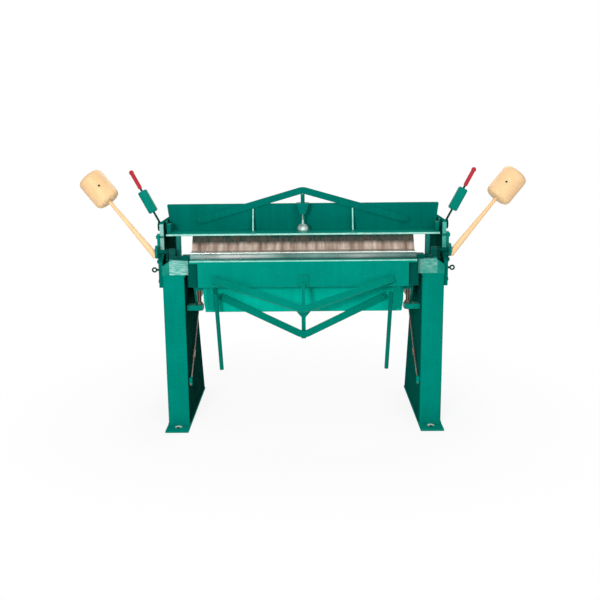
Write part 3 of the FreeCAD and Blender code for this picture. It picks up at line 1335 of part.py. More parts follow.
def make_top_truss(bar_name, strut_name, screw_name, nut_name):
    """Bent flat bar over the web, its post and bracket, and the screw that tightens it."""
    outline, rounds = truss_outline(s.top_truss_half, top_truss_middle_z, top_truss_end_z)
    front_y = web_front_y - s.truss_bar_thickness
    solid = plate(bar_name + "_blank", "XZ_Plane", outline, front_y, s.truss_bar_thickness, rounds)
    holes = top_truss_holes(bar_name, front_y, s.truss_bar_thickness)
    piece(bar_name, cut(bar_name + "_drilled", solid, holes))
    bracket_top_z = plate_top_z + s.web_height + s.bracket_top_drop
    bracket_low_z = bracket_top_z - s.bracket_height
    bracket_outline = [
        (-s.bracket_foot_width / 2, bracket_low_z),
        (s.bracket_foot_width / 2, bracket_low_z),
        (s.bracket_width / 2, bracket_top_z),
        (-s.bracket_width / 2, bracket_top_z),
    ]
    bracket_y = web_front_y - s.bracket_depth
    bracket = plate(strut_name + "_bracket", "XZ_Plane", bracket_outline, bracket_y, s.bracket_depth)
    post_top_z = top_truss_middle_z - s.truss_bar_width / 2 - s.truss_seat_gap
    post_y = (web_front_y - s.truss_bar_thickness, web_front_y)
    post_half = s.strut_width / 2
    post = block(strut_name + "_post", (-post_half, post_half), post_y, (bracket_top_z, post_top_z))
    welded = fuse(strut_name + "_welded", [bracket, post])
    jack_y = hinge_y + s.jack_setback
    bore_radius = s.jack_radius + s.bolt_clearance
    bore_low_z = bracket_low_z - s.cut_overrun
    bore = bar(strut_name + "_bore", "z", bore_radius, s.jack_grip + s.cut_overrun, 0, jack_y, bore_low_z)
    piece(strut_name, cut(strut_name + "_bored", welded, [bore]))
    washer_top_z = plate_top_z + s.washer_thickness
    screw_length = bracket_low_z + s.jack_grip - washer_top_z
    piece(screw_name, bar(screw_name + "_rod", "z", s.jack_radius, screw_length, 0, jack_y, washer_top_z))
    washer = bar(nut_name + "_washer", "z", s.washer_radius, s.washer_thickness, 0, jack_y, plate_top_z)
    dome = doc.addObject("Part::Sphere", nut_name + "_dome")
    bind(dome, "Radius", s.dome_radius)
    dome.Angle1 = 0
    put(dome, 0, jack_y, washer_top_z)
    stacked = fuse(nut_name + "_stacked", [washer, dome])
    bore = bar(nut_name + "_bore", "z", bore_radius, s.dome_radius + s.cut_overrun, 0, jack_y, washer_top_z)
    piece(nut_name, cut(nut_name + "_bored", stacked, [bore]))


def finger_starts():
    """Kind, left side and middle of every finger."""
    x = -bed_half
    for kind in FINGER_ORDER:
        width = finger_width[kind]
        yield kind, x + s.finger_gap / 2, x + width / 2
        x = x + width


def make_fingers():
    """The removable fingers, grouped by their width."""
    front_y = hinge_y + s.finger_setback
    low_z = hinge_z + s.finger_rest_gap
    nose_top_z = low_z + s.finger_nose_height
    top_front_y = plate_front_y + s.finger_inset
    heel_y = top_front_y + s.finger_shank_depth
    outline = [
        (front_y, low_z),
        (front_y, nose_top_z),
        (front_y + s.finger_knee_run, nose_top_z + s.finger_knee_rise),
        (top_front_y, plate_low_z),
        (heel_y, plate_low_z),
        (heel_y, hinge_z + s.finger_heel_height),
        (front_y + s.finger_sole_depth, low_z),
    ]
    fingers = {kind: [] for kind in finger_width}
    for number, (kind, start_x, middle_x) in enumerate(finger_starts()):
        label = "finger%02d" % number
        width = finger_width[kind] - s.finger_gap
        fingers[kind].append(plate(label, "YZ_Plane", outline, start_x, width))
    for kind, solids in fingers.items():
        piece(kind + "_fingers", group(kind + "_fingers_group", solids))


def make_clamp_bar(name):
    """Bar behind the fingers, drilled for one screw to each finger."""
    y = (clamp_bar_front_y, clamp_bar_front_y + s.clamp_bar_thickness)
    blank = block(name + "_blank", (-bed_half, bed_half), y, (plate_low_z - s.clamp_bar_height, plate_low_z))
    radius = s.bolt_radius + s.bolt_clearance
    holes = []
    for number, (kind, start_x, middle_x) in enumerate(finger_starts()):
        size = (radius, s.clamp_bar_thickness)
        holes.append(hole("%s_hole%02d" % (name, number), "y", *size, middle_x, y[0], clamp_screw_z))
    piece(name, cut(name + "_drilled", blank, holes))


def make_top_leaf_bolts(name):
    """Screws that hold the fingers, and the end bolts of the top truss."""
    bolts = []
    head_y = clamp_bar_front_y + s.clamp_bar_thickness
    for number, (kind, start_x, middle_x) in enumerate(finger_starts()):
        label = "finger_screw%02d" % number
        bolts.append(bolt(label, "y", 1, s.clamp_bar_thickness, middle_x, head_y, clamp_screw_z))
    front_y = web_front_y - s.truss_bar_thickness
    for word, side in SIDES:
        place = (side * top_truss_bolt_x, front_y, top_truss_bolt_z)
        bolts.append(bolt(word + "_top_truss_bolt", "y", -1, s.truss_bolt_length, *place))
    piece(name, group(name + "_group", bolts))


def make_guide_posts(name):
    """Round posts under the plate that run in the hinge blocks."""
    low_z = s.leg_height + s.post_seat
    posts = []
    for word, side in SIDES:
        length = plate_low_z - low_z
        posts.append(bar(word + "_post", "z", s.post_radius, length, side * post_x, post_y, low_z))
    piece(name, group(name + "_group", posts))


# Clamp levers


def make_crank(name, side):
    """Shaft through the head plate with a disc and its off-centre pin."""
    disc_outer_x = leg_outer_x - s.crank_disc_gap
    disc_inner_x = disc_outer_x - s.crank_disc_thickness
    hub_x = head_outer_x + s.lever_hub_gap
    x = mirrored(side, disc_inner_x, disc_outer_x)
    size = (s.crank_disc_radius, s.crank_disc_thickness)
    disc = bar(name + "_disc", "x", *size, x[0], crank_y, crank_z)
    x = mirrored(side, disc_outer_x, hub_x)
    shaft = bar(name + "_shaft", "x", s.crank_shaft_radius, hub_x - disc_outer_x, x[0], crank_y, crank_z)
    pin_length = disc_inner_x - plate_half + s.lift_casting_thickness + s.cut_overrun
    x = mirrored(side, disc_inner_x - pin_length, disc_inner_x)
    pin = bar(name + "_pin", "x", s.crank_pin_radius, pin_length, x[0], crank_pin_y, crank_pin_z)
    piece(name, fuse(name + "_solid", [disc, shaft, pin]))


def lever_line(side):
    """Start and direction of a lever rod."""
    hub_face_x = head_outer_x + s.lever_hub_gap + s.lever_hub_width
    start = (side * (hub_face_x - s.lever_root_in), crank_y, crank_z + s.lever_root_rise)
    return start, lean(s.lever_out_angle, s.lever_front_angle, side)


def make_lever(name, side):
    """Hub on the crank shaft with the slanting rod."""
    hub_x = head_outer_x + s.lever_hub_gap
    x = mirrored(side, hub_x, hub_x + s.lever_hub_width)
    size = (s.lever_hub_radius, s.lever_hub_width)
    hub = bar(name + "_hub", "x", *size, x[0], crank_y, crank_z)
    start, direction = lever_line(side)
    rod = slanted_bar(name + "_rod", s.lever_rod_radius, s.lever_rod_length, start, direction)
    piece(name, fuse(name + "_welded", [hub, rod]))


def make_lever_block(name, side):
    """Square block on the rod, with chamfered long edges."""
    start, direction = lever_line(side)
    half_width, half_depth = s.lever_block_width.number / 2, s.lever_block_depth.number / 2
    chamfer, length = s.lever_block_chamfer.number, s.lever_block_length.number
    solid = Part.makeBox(2 * half_width, 2 * half_depth, length, Vector(-half_width, -half_depth, 0))
    solid = solid.makeChamfer(chamfer, solid.Edges)
    bore = Part.makeCylinder(s.lever_rod_radius.number, length)
    thing = doc.addObject("Part::Feature", name + "_block")
    thing.Shape = solid.cut(bore)
    thing.Placement = slant(along(start, direction, s.lever_block_start), direction)
    piece(name, thing)


def make_grip(name, side):
    """Round grip with a ball end over the tip of the rod."""
    start, direction = lever_line(side)
    root = along(start, direction, s.grip_start)
    tube = slanted_bar(name + "_tube", s.grip_radius, s.grip_length, root, direction)
    ball = doc.addObject("Part::Sphere", name + "_ball")
    bind(ball, "Radius", s.grip_end_radius)
    ball.Placement = slant(along(root, direction, s.grip_length), direction)
    rod = slanted_bar(name + "_bore", s.lever_rod_radius, s.lever_rod_length, start, direction)
    piece(name, cut(name + "_bored", fuse(name + "_solid", [tube, ball]), [rod]))


# Build every sub-part

for word, side in SIDES:
    make_foot_plate(word + "_foot_plate", side)
    make_leg(word + "_leg", side)
    make_hinge_block(word + "_hinge_block", side)
    make_head_plate(word + "_head_plate", side)
    make_bed_end(word + "_bed_end", side)
    make_leaf_end(word + "_leaf_end", side)
    make_lift_casting(word + "_lift_casting", side)
    make_counterweight(word + "_counterweight", word + "_weight_screw", side)
    make_crank(word + "_clamp_crank", side)
    make_lever(word + "_clamp_lever", side)
    make_lever_block(word + "_lever_block", side)
    make_grip(word + "_clamp_grip", side)
make_head_straps("head_straps")
make_frame_bolts("frame_bolts")
make_lifting_eyes("lifting_eyes")
make_lock_screws("hinge_lock_screws")
make_bed_top_bar("bed_top_bar")
make_bed_front_plate("bed_front_plate")
make_bed_truss("bed_truss_bar", "bed_truss_strut")
make_support_lugs("bed_support_lugs")
make_leveling_screws("bed_leveling_screws")
make_tie_rods("tie_rods", "turnbuckles")
make_apron("apron_plate")
make_nose_bar("nose_bar")
make_hinge_pins("hinge_pins")
make_arm_hubs("arm_hubs")
make_leaf_truss("leaf_truss_bar", "leaf_truss_strut")
make_handles("handle_brackets", "lifting_handles")
make_counterweight_arms("counterweight_arms")
make_top_leaf_plate("top_leaf_plate")
make_top_leaf_web("top_leaf_web")
make_ribs("top_leaf_ribs")
make_top_truss("top_truss_bar", "top_truss_strut", "top_truss_screw", "top_truss_nut")
make_fingers()
make_clamp_bar("finger_clamp_bar")
make_top_leaf_bolts("top_leaf_bolts")
make_guide_posts("guide_posts")

# Check the document and write every sub-part

doc.recompute()
for thing in doc.Objects:
    if "Invalid" in thing.State or "Error" in thing.State:
        raise RuntimeError("%s was not built: %s" % (thing.Label, thing.State))
os.makedirs("parts", exist_ok=True)
for label, thing in sorted(parts.items()):
    if thing.Shape.isNull() or not thing.Shape.isValid():
        raise RuntimeError("%s has no valid shape" % label)
    thing.Shape.exportStep("parts/%s.step" % label)
    print("%-24s %2d solids %10.1f cm3" % (label, len(thing.Shape.Solids), thing.Shape.Volume / 1000))
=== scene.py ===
import json
import math

import bmesh
import bpy
from mathutils import Matrix, Vector


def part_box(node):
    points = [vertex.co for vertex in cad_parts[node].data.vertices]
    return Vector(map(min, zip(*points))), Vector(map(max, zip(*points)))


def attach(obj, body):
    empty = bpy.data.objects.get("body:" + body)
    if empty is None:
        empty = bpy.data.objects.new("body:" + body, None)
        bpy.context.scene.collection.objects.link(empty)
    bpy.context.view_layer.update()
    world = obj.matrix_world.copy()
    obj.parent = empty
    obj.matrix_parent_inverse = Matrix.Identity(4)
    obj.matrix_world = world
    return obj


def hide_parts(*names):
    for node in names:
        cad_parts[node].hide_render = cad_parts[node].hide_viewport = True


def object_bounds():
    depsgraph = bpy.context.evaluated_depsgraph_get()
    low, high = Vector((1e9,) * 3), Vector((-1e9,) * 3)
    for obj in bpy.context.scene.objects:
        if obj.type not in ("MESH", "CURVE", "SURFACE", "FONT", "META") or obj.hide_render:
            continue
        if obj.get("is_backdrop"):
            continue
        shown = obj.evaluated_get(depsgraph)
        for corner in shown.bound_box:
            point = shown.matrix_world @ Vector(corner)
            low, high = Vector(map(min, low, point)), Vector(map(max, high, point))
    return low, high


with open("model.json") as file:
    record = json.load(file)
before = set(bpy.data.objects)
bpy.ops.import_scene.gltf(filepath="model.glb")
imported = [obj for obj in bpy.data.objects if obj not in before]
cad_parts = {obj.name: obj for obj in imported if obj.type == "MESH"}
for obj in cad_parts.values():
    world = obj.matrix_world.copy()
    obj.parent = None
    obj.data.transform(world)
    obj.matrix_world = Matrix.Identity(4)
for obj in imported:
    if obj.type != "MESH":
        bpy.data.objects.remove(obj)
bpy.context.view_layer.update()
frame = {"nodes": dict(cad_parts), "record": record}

# The camera
# It stands 4.4 m in front of the bed, a little above the counterweights' height, and looks
# down on the machine by twelve degrees, with a slight turn and tilt in the hand.
camera_data = bpy.data.cameras.new("camera")
camera_data.lens = 49.30
camera_data.clip_end = 60
camera = bpy.data.objects.new("camera", camera_data)
bpy.context.scene.collection.objects.link(camera)
camera_place = (0.012, -4.6809, 1.645)
turned_left, looking_down, tilted = 0.401, 11.868, -0.569
pan = Matrix.Rotation(math.radians(turned_left), 4, "Z")
fall = Matrix.Rotation(math.radians(90 - looking_down), 4, "X")
tilt = Matrix.Rotation(math.radians(tilted), 4, "Z")
camera.matrix_world = Matrix.Translation(camera_place) @ pan @ fall @ tilt
bpy.context.scene.camera = camera

# Legs and foot plates
# Each leg is 8 mm plate bent to an open channel, with two long tapering side plates and a cap,
# welded to a flat foot plate that is drilled for floor anchors. Green enamel is sprayed over all.
body_of = {node: body for body, nodes in frame["record"]["behaviour"]["bodies"].items() for node in nodes}


def node_setter(tree):
    """Adds nodes to a tree: the type, its settings, and its inputs as values or as other nodes' outputs."""

    def add(kind, settings=None, **inputs):
        node = tree.nodes.new(kind)
        for key, value in (settings or {}).items():
            setattr(node, key, value)
        for key, value in inputs.items():
            numbered = key[1:].isdigit()
            socket = node.inputs[int(key[1:]) if numbered else key.replace("_", " ")]
            if isinstance(value, bpy.types.NodeSocket):
                tree.links.new(value, socket)
            else:
                socket.default_value = value
        return node

    return add


def new_finish(name, metallic=0.0, specular=0.5, tint=(1, 1, 1)):
    """An empty node material with its Principled shader and the function that adds nodes."""
    material = bpy.data.materials.new(name)
    material.use_nodes = True
    material.node_tree.nodes.clear()
    add = node_setter(material.node_tree)
    shader = add("ShaderNodeBsdfPrincipled", Metallic=metallic)
    shader.inputs["Specular IOR Level"].default_value = specular
    shader.inputs["Specular Tint"].default_value = (*tint, 1)
    add("ShaderNodeOutputMaterial", Surface=shader.outputs[0])
    return material, shader, add


def mixed(add, share, first, second):
    """Colour between two colours or outputs."""
    first, second = (
        value if isinstance(value, bpy.types.NodeSocket) else (*value, 1) for value in (first, second)
    )
    return add("ShaderNodeMix", {"data_type": "RGBA"}, _0=share, _6=first, _7=second).outputs[2]


def ranged(add, value, low, high, to_low=0.0, to_high=1.0):
    """A value that runs from to_low to to_high while the input runs from low to high, held at both ends."""
    return add("ShaderNodeMapRange", _0=value, _1=low, _2=high, _3=to_low, _4=to_high).outputs[0]


def reckoned(add, operation, first, second=0.0, third=0.0):
    """The result of one sum on values or outputs."""
    return add("ShaderNodeMath", {"operation": operation}, _0=first, _1=second, _2=third).outputs[0]


def times(add, first, second):
    """The product of two values or outputs."""
    return reckoned(add, "MULTIPLY", first, second)


def noise(add, place, scale=1.0, detail=3.0, roughness=0.5):
    """Soft cloudy noise from nought to one."""
    made = add("ShaderNodeTexNoise", Vector=place, Scale=scale, Detail=detail, Roughness=roughness)
    return made.outputs[0]


def stretched(add, place, scale):
    """The object's own coordinates, stretched so that a texture runs out along one direction."""
    return add("ShaderNodeMapping", Vector=place, Scale=scale).outputs[0]


# Near-black green that the enamels lay on faces marked for painted shade.
shade_black = (0.002, 0.012, 0.009)


def enamel(name, deep, pale, rim, roughness=0.34, peel=0.00015, rim_share=0.9, dust=0.3, gloss=0.1):
    """Sprayed enamel: slow changes of depth, drips, fine orange peel, dust, a paler film on the edges where
    the attribute rim is above nought, partly wear and partly painted highlight, and painted shade where it
    is below."""
    material, shader, add = new_finish(name, specular=gloss, tint=pale)
    place = add("ShaderNodeTexCoord").outputs["Object"]
    cloud = noise(add, place, 2.7, 4.0, 0.6)
    runs = noise(add, stretched(add, place, (38.0, 38.0, 3.5)))
    depth = reckoned(add, "MULTIPLY_ADD", runs, 0.45, cloud)
    body = mixed(add, ranged(add, depth, 0.5, 0.95), deep, pale)
    specks = times(add, ranged(add, noise(add, place, 160.0, 2.0, 0.7), 0.66, 0.74), dust)
    body = mixed(add, specks, body, rim)
    edge_and_shade_mark = add("ShaderNodeAttribute", {"attribute_name": "rim"}).outputs["Fac"]
    join = noise(add, place, 21.0)
    unbroken = ranged(add, join, 0.25, 0.6, rim_share * 0.55, rim_share)
    body = mixed(add, times(add, ranged(add, edge_and_shade_mark, 0.0, 1.0), unbroken), body, rim)
    # Below nought the attribute asks for painted shade, near black in uneven patches.
    shade_share = ranged(add, edge_and_shade_mark, -1.0, 0.0, 1.0, 0.0)
    shade_patches = ranged(add, join, 0.2, 0.7, 0.98, 0.82)
    body = mixed(add, times(add, shade_share, shade_patches), body, shade_black)
    links = material.node_tree.links
    links.new(body, shader.inputs["Base Color"])
    sheen = ranged(add, cloud, 0.3, 0.7, roughness - 0.05, roughness + 0.1)
    links.new(sheen, shader.inputs["Roughness"])
    bump = add("ShaderNodeBump", Height=noise(add, place, 310.0, 1.5), Strength=0.3, Distance=peel)
    links.new(bump.outputs[0], shader.inputs["Normal"])
    return material


def dressed(nodes, edge_width, finish, segments=2, edge_wear_and_highlight=0.2, pale=None, shade_faces=None):
    """A piece made from CAD solids, with eased edges; the eased edges get a paler film, partly wear and
    partly painted highlight, the chosen pale faces a full painted highlight, and the chosen shaded faces
    painted shade.
    """
    shape = bmesh.new()
    for node in nodes:
        shape.from_mesh(frame["nodes"][node].data)
    bmesh.ops.remove_doubles(shape, verts=shape.verts, dist=0.00002)
    flat_angle = math.radians(0.6)
    bmesh.ops.dissolve_limit(shape, angle_limit=flat_angle, verts=shape.verts, edges=shape.edges)
    crisp_angle = math.radians(28)
    crisp = [edge for edge in shape.edges if edge.is_manifold and edge.calc_face_angle() > crisp_angle]
    rim = shape.faces.layers.float.new("rim")
    eased = bmesh.ops.bevel(
        shape, geom=crisp, offset=edge_width, offset_type="OFFSET", segments=segments,
        profile=0.6, affect="EDGES", clamp_overlap=True,
    )
    for face in eased["faces"]:
        face[rim] = edge_wear_and_highlight
    # Chosen faces get a full painted highlight, or painted shade below nought.
    for face in shape.faces:
        if pale and pale(face.calc_center_median(), face.normal):
            face[rim] = 1.0
        elif shade_faces:
            face[rim] = min(face[rim], -shade_faces(face.calc_center_median(), face.normal))
    return finished(shape, nodes[0] + "_piece", body_of[nodes[0]], finish, nodes)


def finished(shape, name, body, finish, nodes=()):
    """Turn a bmesh into a piece that rides on its body and stands for its CAD nodes."""
    mesh = bpy.data.meshes.new(name)
    shape.to_mesh(mesh)
    shape.free()
    mesh.shade_smooth()
    sharp_angle = math.radians(42)
    mesh.set_sharp_from_angle(angle=sharp_angle)
    mesh.materials.append(finish)
    return placed(mesh, name, body, nodes)


def placed(mesh, name, body, nodes=()):
    """Put a mesh in the scene as a piece of a body."""
    piece = bpy.data.objects.new(name, mesh)
    bpy.context.scene.collection.objects.link(piece)
    even = piece.modifiers.new("even shading", "WEIGHTED_NORMAL")
    even.keep_sharp = True
    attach(piece, body)
    if nodes:
        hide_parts(*nodes)
    return piece


green = enamel("green enamel", (0.0, 0.165, 0.118), (0.0, 0.225, 0.168), (0.10, 0.52, 0.43))


def inward_shade(place, normal):
    """Faces towards the middle of the machine, painted dark as shade: fully on the left, two thirds as much
    on the right.
    """
    inner = normal.x * place.x < -0.5 * abs(place.x)
    return (0.67 if place.x > 0 else 1.0) if inner else 0.0


def spotted_enamel(name, anchors):
    """The legs' enamel, with a bright spot beside each anchor hole and darker round each hole."""
    material = enamel(name, (0.0, 0.178, 0.132), (0.0, 0.235, 0.18), (0.1, 0.5, 0.42), 0.5, gloss=0.0)
    tree = material.node_tree
    add = node_setter(tree)
    shader = next(node for node in tree.nodes if node.type == "BSDF_PRINCIPLED")
    place = add("ShaderNodeTexCoord").outputs["Object"]
    uneven = noise(add, place, 130.0)
    foot_colour = shader.inputs["Base Color"].links[0].from_socket
    beside_hole = 0.014
    for across, back, top in anchors:
        spot = (across, back + beside_hole, top)
        away = add("ShaderNodeVectorMath", {"operation": "DISTANCE"}, _0=place, _1=spot).outputs["Value"]
        wavy = reckoned(add, "MULTIPLY_ADD", uneven, 0.010, away)
        foot_colour = mixed(add, ranged(add, wavy, 0.021, 0.026, 0.9, 0.0), foot_colour, (0.66, 0.74, 0.7))
        drilled = (across, back, top)
        away = add("ShaderNodeVectorMath", {"operation": "DISTANCE"}, _0=place, _1=drilled).outputs["Value"]
        foot_colour = mixed(add, ranged(add, away, 0.0095, 0.0125, 1.0, 0.0), foot_colour, (0.005, 0.02, 0.016))
    tree.links.new(foot_colour, shader.inputs["Base Color"])
    return material


leg_green = enamel("leg enamel", (0.0, 0.178, 0.132), (0.0, 0.235, 0.18), (0.05, 0.4, 0.32), 0.5, gloss=0.0)
for side in ("left", "right"):
    # The leg faces towards the middle are painted dark as shade.
    dressed([side + "_leg"], 0.0014, leg_green, shade_faces=inward_shade)
    foot_low, foot_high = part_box(side + "_foot_plate")
    middle_x = (foot_low[0] + foot_high[0]) / 2
    hole_from_end = 0.055
    hole_ys = (foot_low[1] + hole_from_end, foot_high[1] - hole_from_end)
    anchors = [(middle_x, hole_y, foot_high[2]) for hole_y in hole_ys]
    foot_green = spotted_enamel(side + " foot enamel", anchors)
    dressed([side + "_foot_plate"], 0.0012, foot_green, edge_wear_and_highlight=0.6)

# The welds of the legs
# Rippled fillet beads run round the foot of each leg and along the front of its cap, laid by hand
# with the enamel sprayed over them.
def growing_tree(name, **sizes):
    """A Geometry Nodes tree that takes points or lines, named sizes and a finish."""
    tree = bpy.data.node_groups.new(name, "GeometryNodeTree")
    for label, kind in (("Geometry", "Geometry"), *sizes.items(), ("Finish", "Material")):
        label = label.replace("_", " ")
        tree.interface.new_socket(name=label, in_out="INPUT", socket_type="NodeSocket" + kind)
    tree.interface.new_socket(name="Geometry", in_out="OUTPUT", socket_type="NodeSocketGeometry")
    add = node_setter(tree)
    return tree, add, add("NodeGroupInput").outputs


def clad(add, entry, laid):
    """The instances made real, with the finish on them."""
    made = add("GeometryNodeRealizeInstances", Geometry=laid).outputs[0]
    return add("GeometryNodeSetMaterial", Geometry=made, Material=entry["Finish"]).outputs[0]


bead_tree, add, entry = growing_tree("weld bead", Bead_radius="Float", Ripple_spacing="Float", Seed="Int")
line = add("GeometryNodeMeshToCurve", Mesh=entry["Geometry"]).outputs[0]
spacing = entry["Ripple spacing"]
steps = add("GeometryNodeResampleCurve", {"mode": "LENGTH"}, Curve=line, Length=spacing).outputs[0]
scallop = add("GeometryNodeMeshUVSphere", Segments=10, Rings=6, Radius=1.0).outputs[0]
tangent = add("GeometryNodeInputTangent").outputs[0]
turn = add("FunctionNodeAlignRotationToVector", {"axis": "Z"}, Vector=tangent).outputs[0]
wander = add("FunctionNodeRandomValue", {"data_type": "FLOAT"}, _2=0.86, _3=1.12, Seed=entry["Seed"])
width = times(add, entry["Bead radius"], wander.outputs[1])
length = times(add, spacing, 1.15)
size = add("ShaderNodeCombineXYZ", X=width, Y=width, Z=length).outputs[0]
laid = add("GeometryNodeInstanceOnPoints", Points=steps, Instance=scallop, Rotation=turn, Scale=size)
soft = add("GeometryNodeSetShadeSmooth", Geometry=laid.outputs[0]).outputs[0]
add("NodeGroupOutput", Geometry=clad(add, entry, soft))


def grown(tree, name, points, lines, body, slot, facing=(), **settings):
    """A plain mesh piece that a tree makes on points or lines; the settings fill its named inputs."""
    seed_mesh = bpy.data.meshes.new(name + "_path")
    seed_mesh.from_pydata(points, lines, [])
    if facing:
        ways = seed_mesh.attributes.new("facing", "FLOAT_VECTOR", "POINT")
        for number, way in enumerate(facing):
            ways.data[number].vector = way
    source = bpy.data.objects.new(name + "_path", seed_mesh)
    bpy.context.scene.collection.objects.link(source)
    step = source.modifiers.new("grow", "NODES")
    step.node_group = tree
    for socket in tree.interface.items_tree:
        key = socket.name.replace(" ", "_")
        if socket.item_type == "SOCKET" and socket.in_out == "INPUT" and key in settings:
            step[socket.identifier] = settings[key]
    bpy.context.view_layer.update()
    shown = source.evaluated_get(bpy.context.evaluated_depsgraph_get())
    mesh = bpy.data.meshes.new_from_object(shown)
    mesh.name = name
    bpy.data.objects.remove(source)
    return placed(mesh, name, body)


def welds(name, runs, finish, radius=0.004, seed=1):
    """Weld beads along runs of corner points."""
    points, lines = [], []
    for run in runs:
        start = len(points)
        points += run
        lines += [(start + number, start + number + 1) for number in range(len(run) - 1)]
    return grown(bead_tree, name, points, lines, "frame", "green_paint",
                 Bead_radius=radius, Ripple_spacing=0.0035, Seed=seed, Finish=finish)


side_hand = {"left": -1, "right": 1}
leg_wall, leg_bend, cap_thickness = 0.008, 0.006, 0.010
for number, (side, hand) in enumerate(side_hand.items()):
    low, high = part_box(side + "_leg")
    end_low, end_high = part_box(side + "_bed_end")
    outer, inner = (low[0], end_low[0]) if hand < 0 else (high[0], end_high[0])
    ground, front, back = low[2], low[1], high[1]
    foot_runs = [
        [(outer, back, ground), (outer, front + leg_wall, ground)],
        [(outer - hand * leg_bend, front, ground), (inner + hand * leg_bend, front, ground)],
        [(inner, front + leg_wall, ground), (inner, back, ground)],
    ]
    cap_low = high[2] - cap_thickness
    cap_ends = (outer - hand * leg_bend, inner + hand * leg_bend)
    cap_runs = [[(end, front + 0.001, cap_low) for end in cap_ends]]
    welds(side + "_leg_welds", foot_runs, leg_green, seed=number)
    welds(side + "_cap_weld", cap_runs, leg_green, radius=0.0022, seed=number + 5)

# Hinge blocks
# Rough sand castings on the leg caps. The inner part carries pale streaky enamel, partly a ground face
# and partly a painted highlight, stronger on the left block than the right; the sloped outer shoulder
# is smoother. The leaf's bearing on top is painted dark as shade.
def casting_enamel(name):
    """Enamel over a casting: pale streaks where the attribute pad is set, partly a ground face and partly
    painted highlight, and painted shade above the bearing's foot.
    """
    material, shader, add = new_finish(name, specular=0.2, tint=(0.2, 0.8, 0.7))
    place = add("ShaderNodeTexCoord").outputs["Object"]
    pad = add("ShaderNodeAttribute", {"attribute_name": "pad"}).outputs["Fac"]
    edge = add("ShaderNodeAttribute", {"attribute_name": "rim"}).outputs["Fac"]
    cloud = noise(add, place, 9.0, 5.0, 0.65)
    streak = noise(add, stretched(add, place, (30.0, 160.0, 190.0)))
    smooth_color = mixed(add, ranged(add, cloud, 0.35, 0.7), (0.0, 0.15, 0.11), (0.01, 0.25, 0.19))
    pale_pad = mixed(add, ranged(add, streak, 0.36, 0.66), (0.05, 0.34, 0.28), (0.37, 0.62, 0.56))
    pale_pad = mixed(add, ranged(add, cloud, 0.5, 0.75), pale_pad, (0.03, 0.3, 0.24))
    height = add("ShaderNodeSeparateXYZ", Vector=place).outputs[2]
    bearing_shade = ranged(add, height, bearing_low, bearing_low + 0.006, 0.0, 0.8)
    smooth_color = mixed(add, bearing_shade, smooth_color, (0.0, 0.022, 0.016))
    color = mixed(add, pad, smooth_color, pale_pad)
    color = mixed(add, times(add, edge, 0.9), color, (0.2, 0.6, 0.52))
    links = material.node_tree.links
    links.new(color, shader.inputs["Base Color"])
    links.new(ranged(add, streak, 0.3, 0.7, 0.3, 0.55), shader.inputs["Roughness"])
    pits = add("ShaderNodeTexVoronoi", Vector=place, Scale=190.0).outputs[0]
    bump = add("ShaderNodeBump", Height=reckoned(add, "ADD", pits, streak), Strength=0.5, Distance=0.0008)
    links.new(bump.outputs[0], shader.inputs["Normal"])
    return material


leg_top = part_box("left_leg")[1][2]
bearing_low = leg_top + 0.081
pad_high = leg_top + 0.080
pad_limit = 0.7265
cast_green = casting_enamel("casting enamel")
# How pale the pad is, a painted highlight, stronger on the left block than the right.
pad_paleness = {"left": 1.0, "right": 0.55}
for side, hand in side_hand.items():
    block = dressed([side + "_hinge_block"], 0.0022, cast_green, segments=3)
    shape = bmesh.new()
    shape.from_mesh(block.data)
    pad = shape.faces.layers.float.new("pad")
    every = shape.verts[:] + shape.edges[:] + shape.faces[:]
    shoulder = (hand * pad_limit, 0, 0)
    bmesh.ops.bisect_plane(shape, geom=every, plane_co=shoulder, plane_no=(1, 0, 0), dist=0.00001)
    for face in shape.faces:
        place = face.calc_center_median()
        if abs(place.x) < pad_limit and place.z < pad_high:
            face[pad] = pad_paleness[side]
    shape.to_mesh(block.data)
    shape.free()

# Head plates with their straps and lifting eyes
# Flame-cut 22 mm plates bolted outside the legs, with the crank shaft's bore. Their front edges
# carry a painted highlight, stronger on the left, and their faces towards the middle are painted dark
# as shade. A narrow strap is bolted outside each plate, and a forged eye for the lifting hook is
# screwed into the plate's lower front corner.
bend_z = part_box("bed_top_bar")[1][2]


def front_edge(place, normal):
    """The head plates' front edges above the bend line, which get a painted highlight."""
    return normal.y < -0.9 and place.z > bend_z + 0.004


for side, lit_edge_green in (("left", (0.33, 0.62, 0.56)), ("right", (0.08, 0.46, 0.38))):
    head_name = side + " head enamel"
    head_green = enamel(head_name, (0.0, 0.11, 0.08), (0.0, 0.16, 0.12), lit_edge_green, 0.5, gloss=0.0)
    dressed([side + "_head_plate"], 0.0022, head_green, pale=front_edge, shade_faces=inward_shade)
dressed(["head_straps"], 0.0014, green)
dark_green = enamel("dark enamel", (0.0, 0.032, 0.026), (0.0, 0.062, 0.05), (0.05, 0.22, 0.18))
dressed(["lifting_eyes"], 0.0005, dark_green)
dressed(["hinge_lock_screws"], 0.0005, dark_green)
dressed(["frame_bolts"], 0.0008, green)

# Washers under the bolts, and the rolled threads
# Plain round washers stand under the bolt heads. Threads wind round the levelling screws, the truss
# screw and the shanks of the lifting eyes.
def laid_at_points(add, entry, fitting):
    """A fitting at each point, turned to face the way that the attribute facing gives."""
    facing = add("GeometryNodeInputNamedAttribute", {"data_type": "FLOAT_VECTOR"}, Name="facing").outputs[0]
    turn = add("FunctionNodeAlignRotationToVector", {"axis": "Z"}, Vector=facing).outputs[0]
    points = entry["Geometry"]
    laid = add("GeometryNodeInstanceOnPoints", Points=points, Instance=fitting, Rotation=turn).outputs[0]
    add("NodeGroupOutput", Geometry=clad(add, entry, laid))


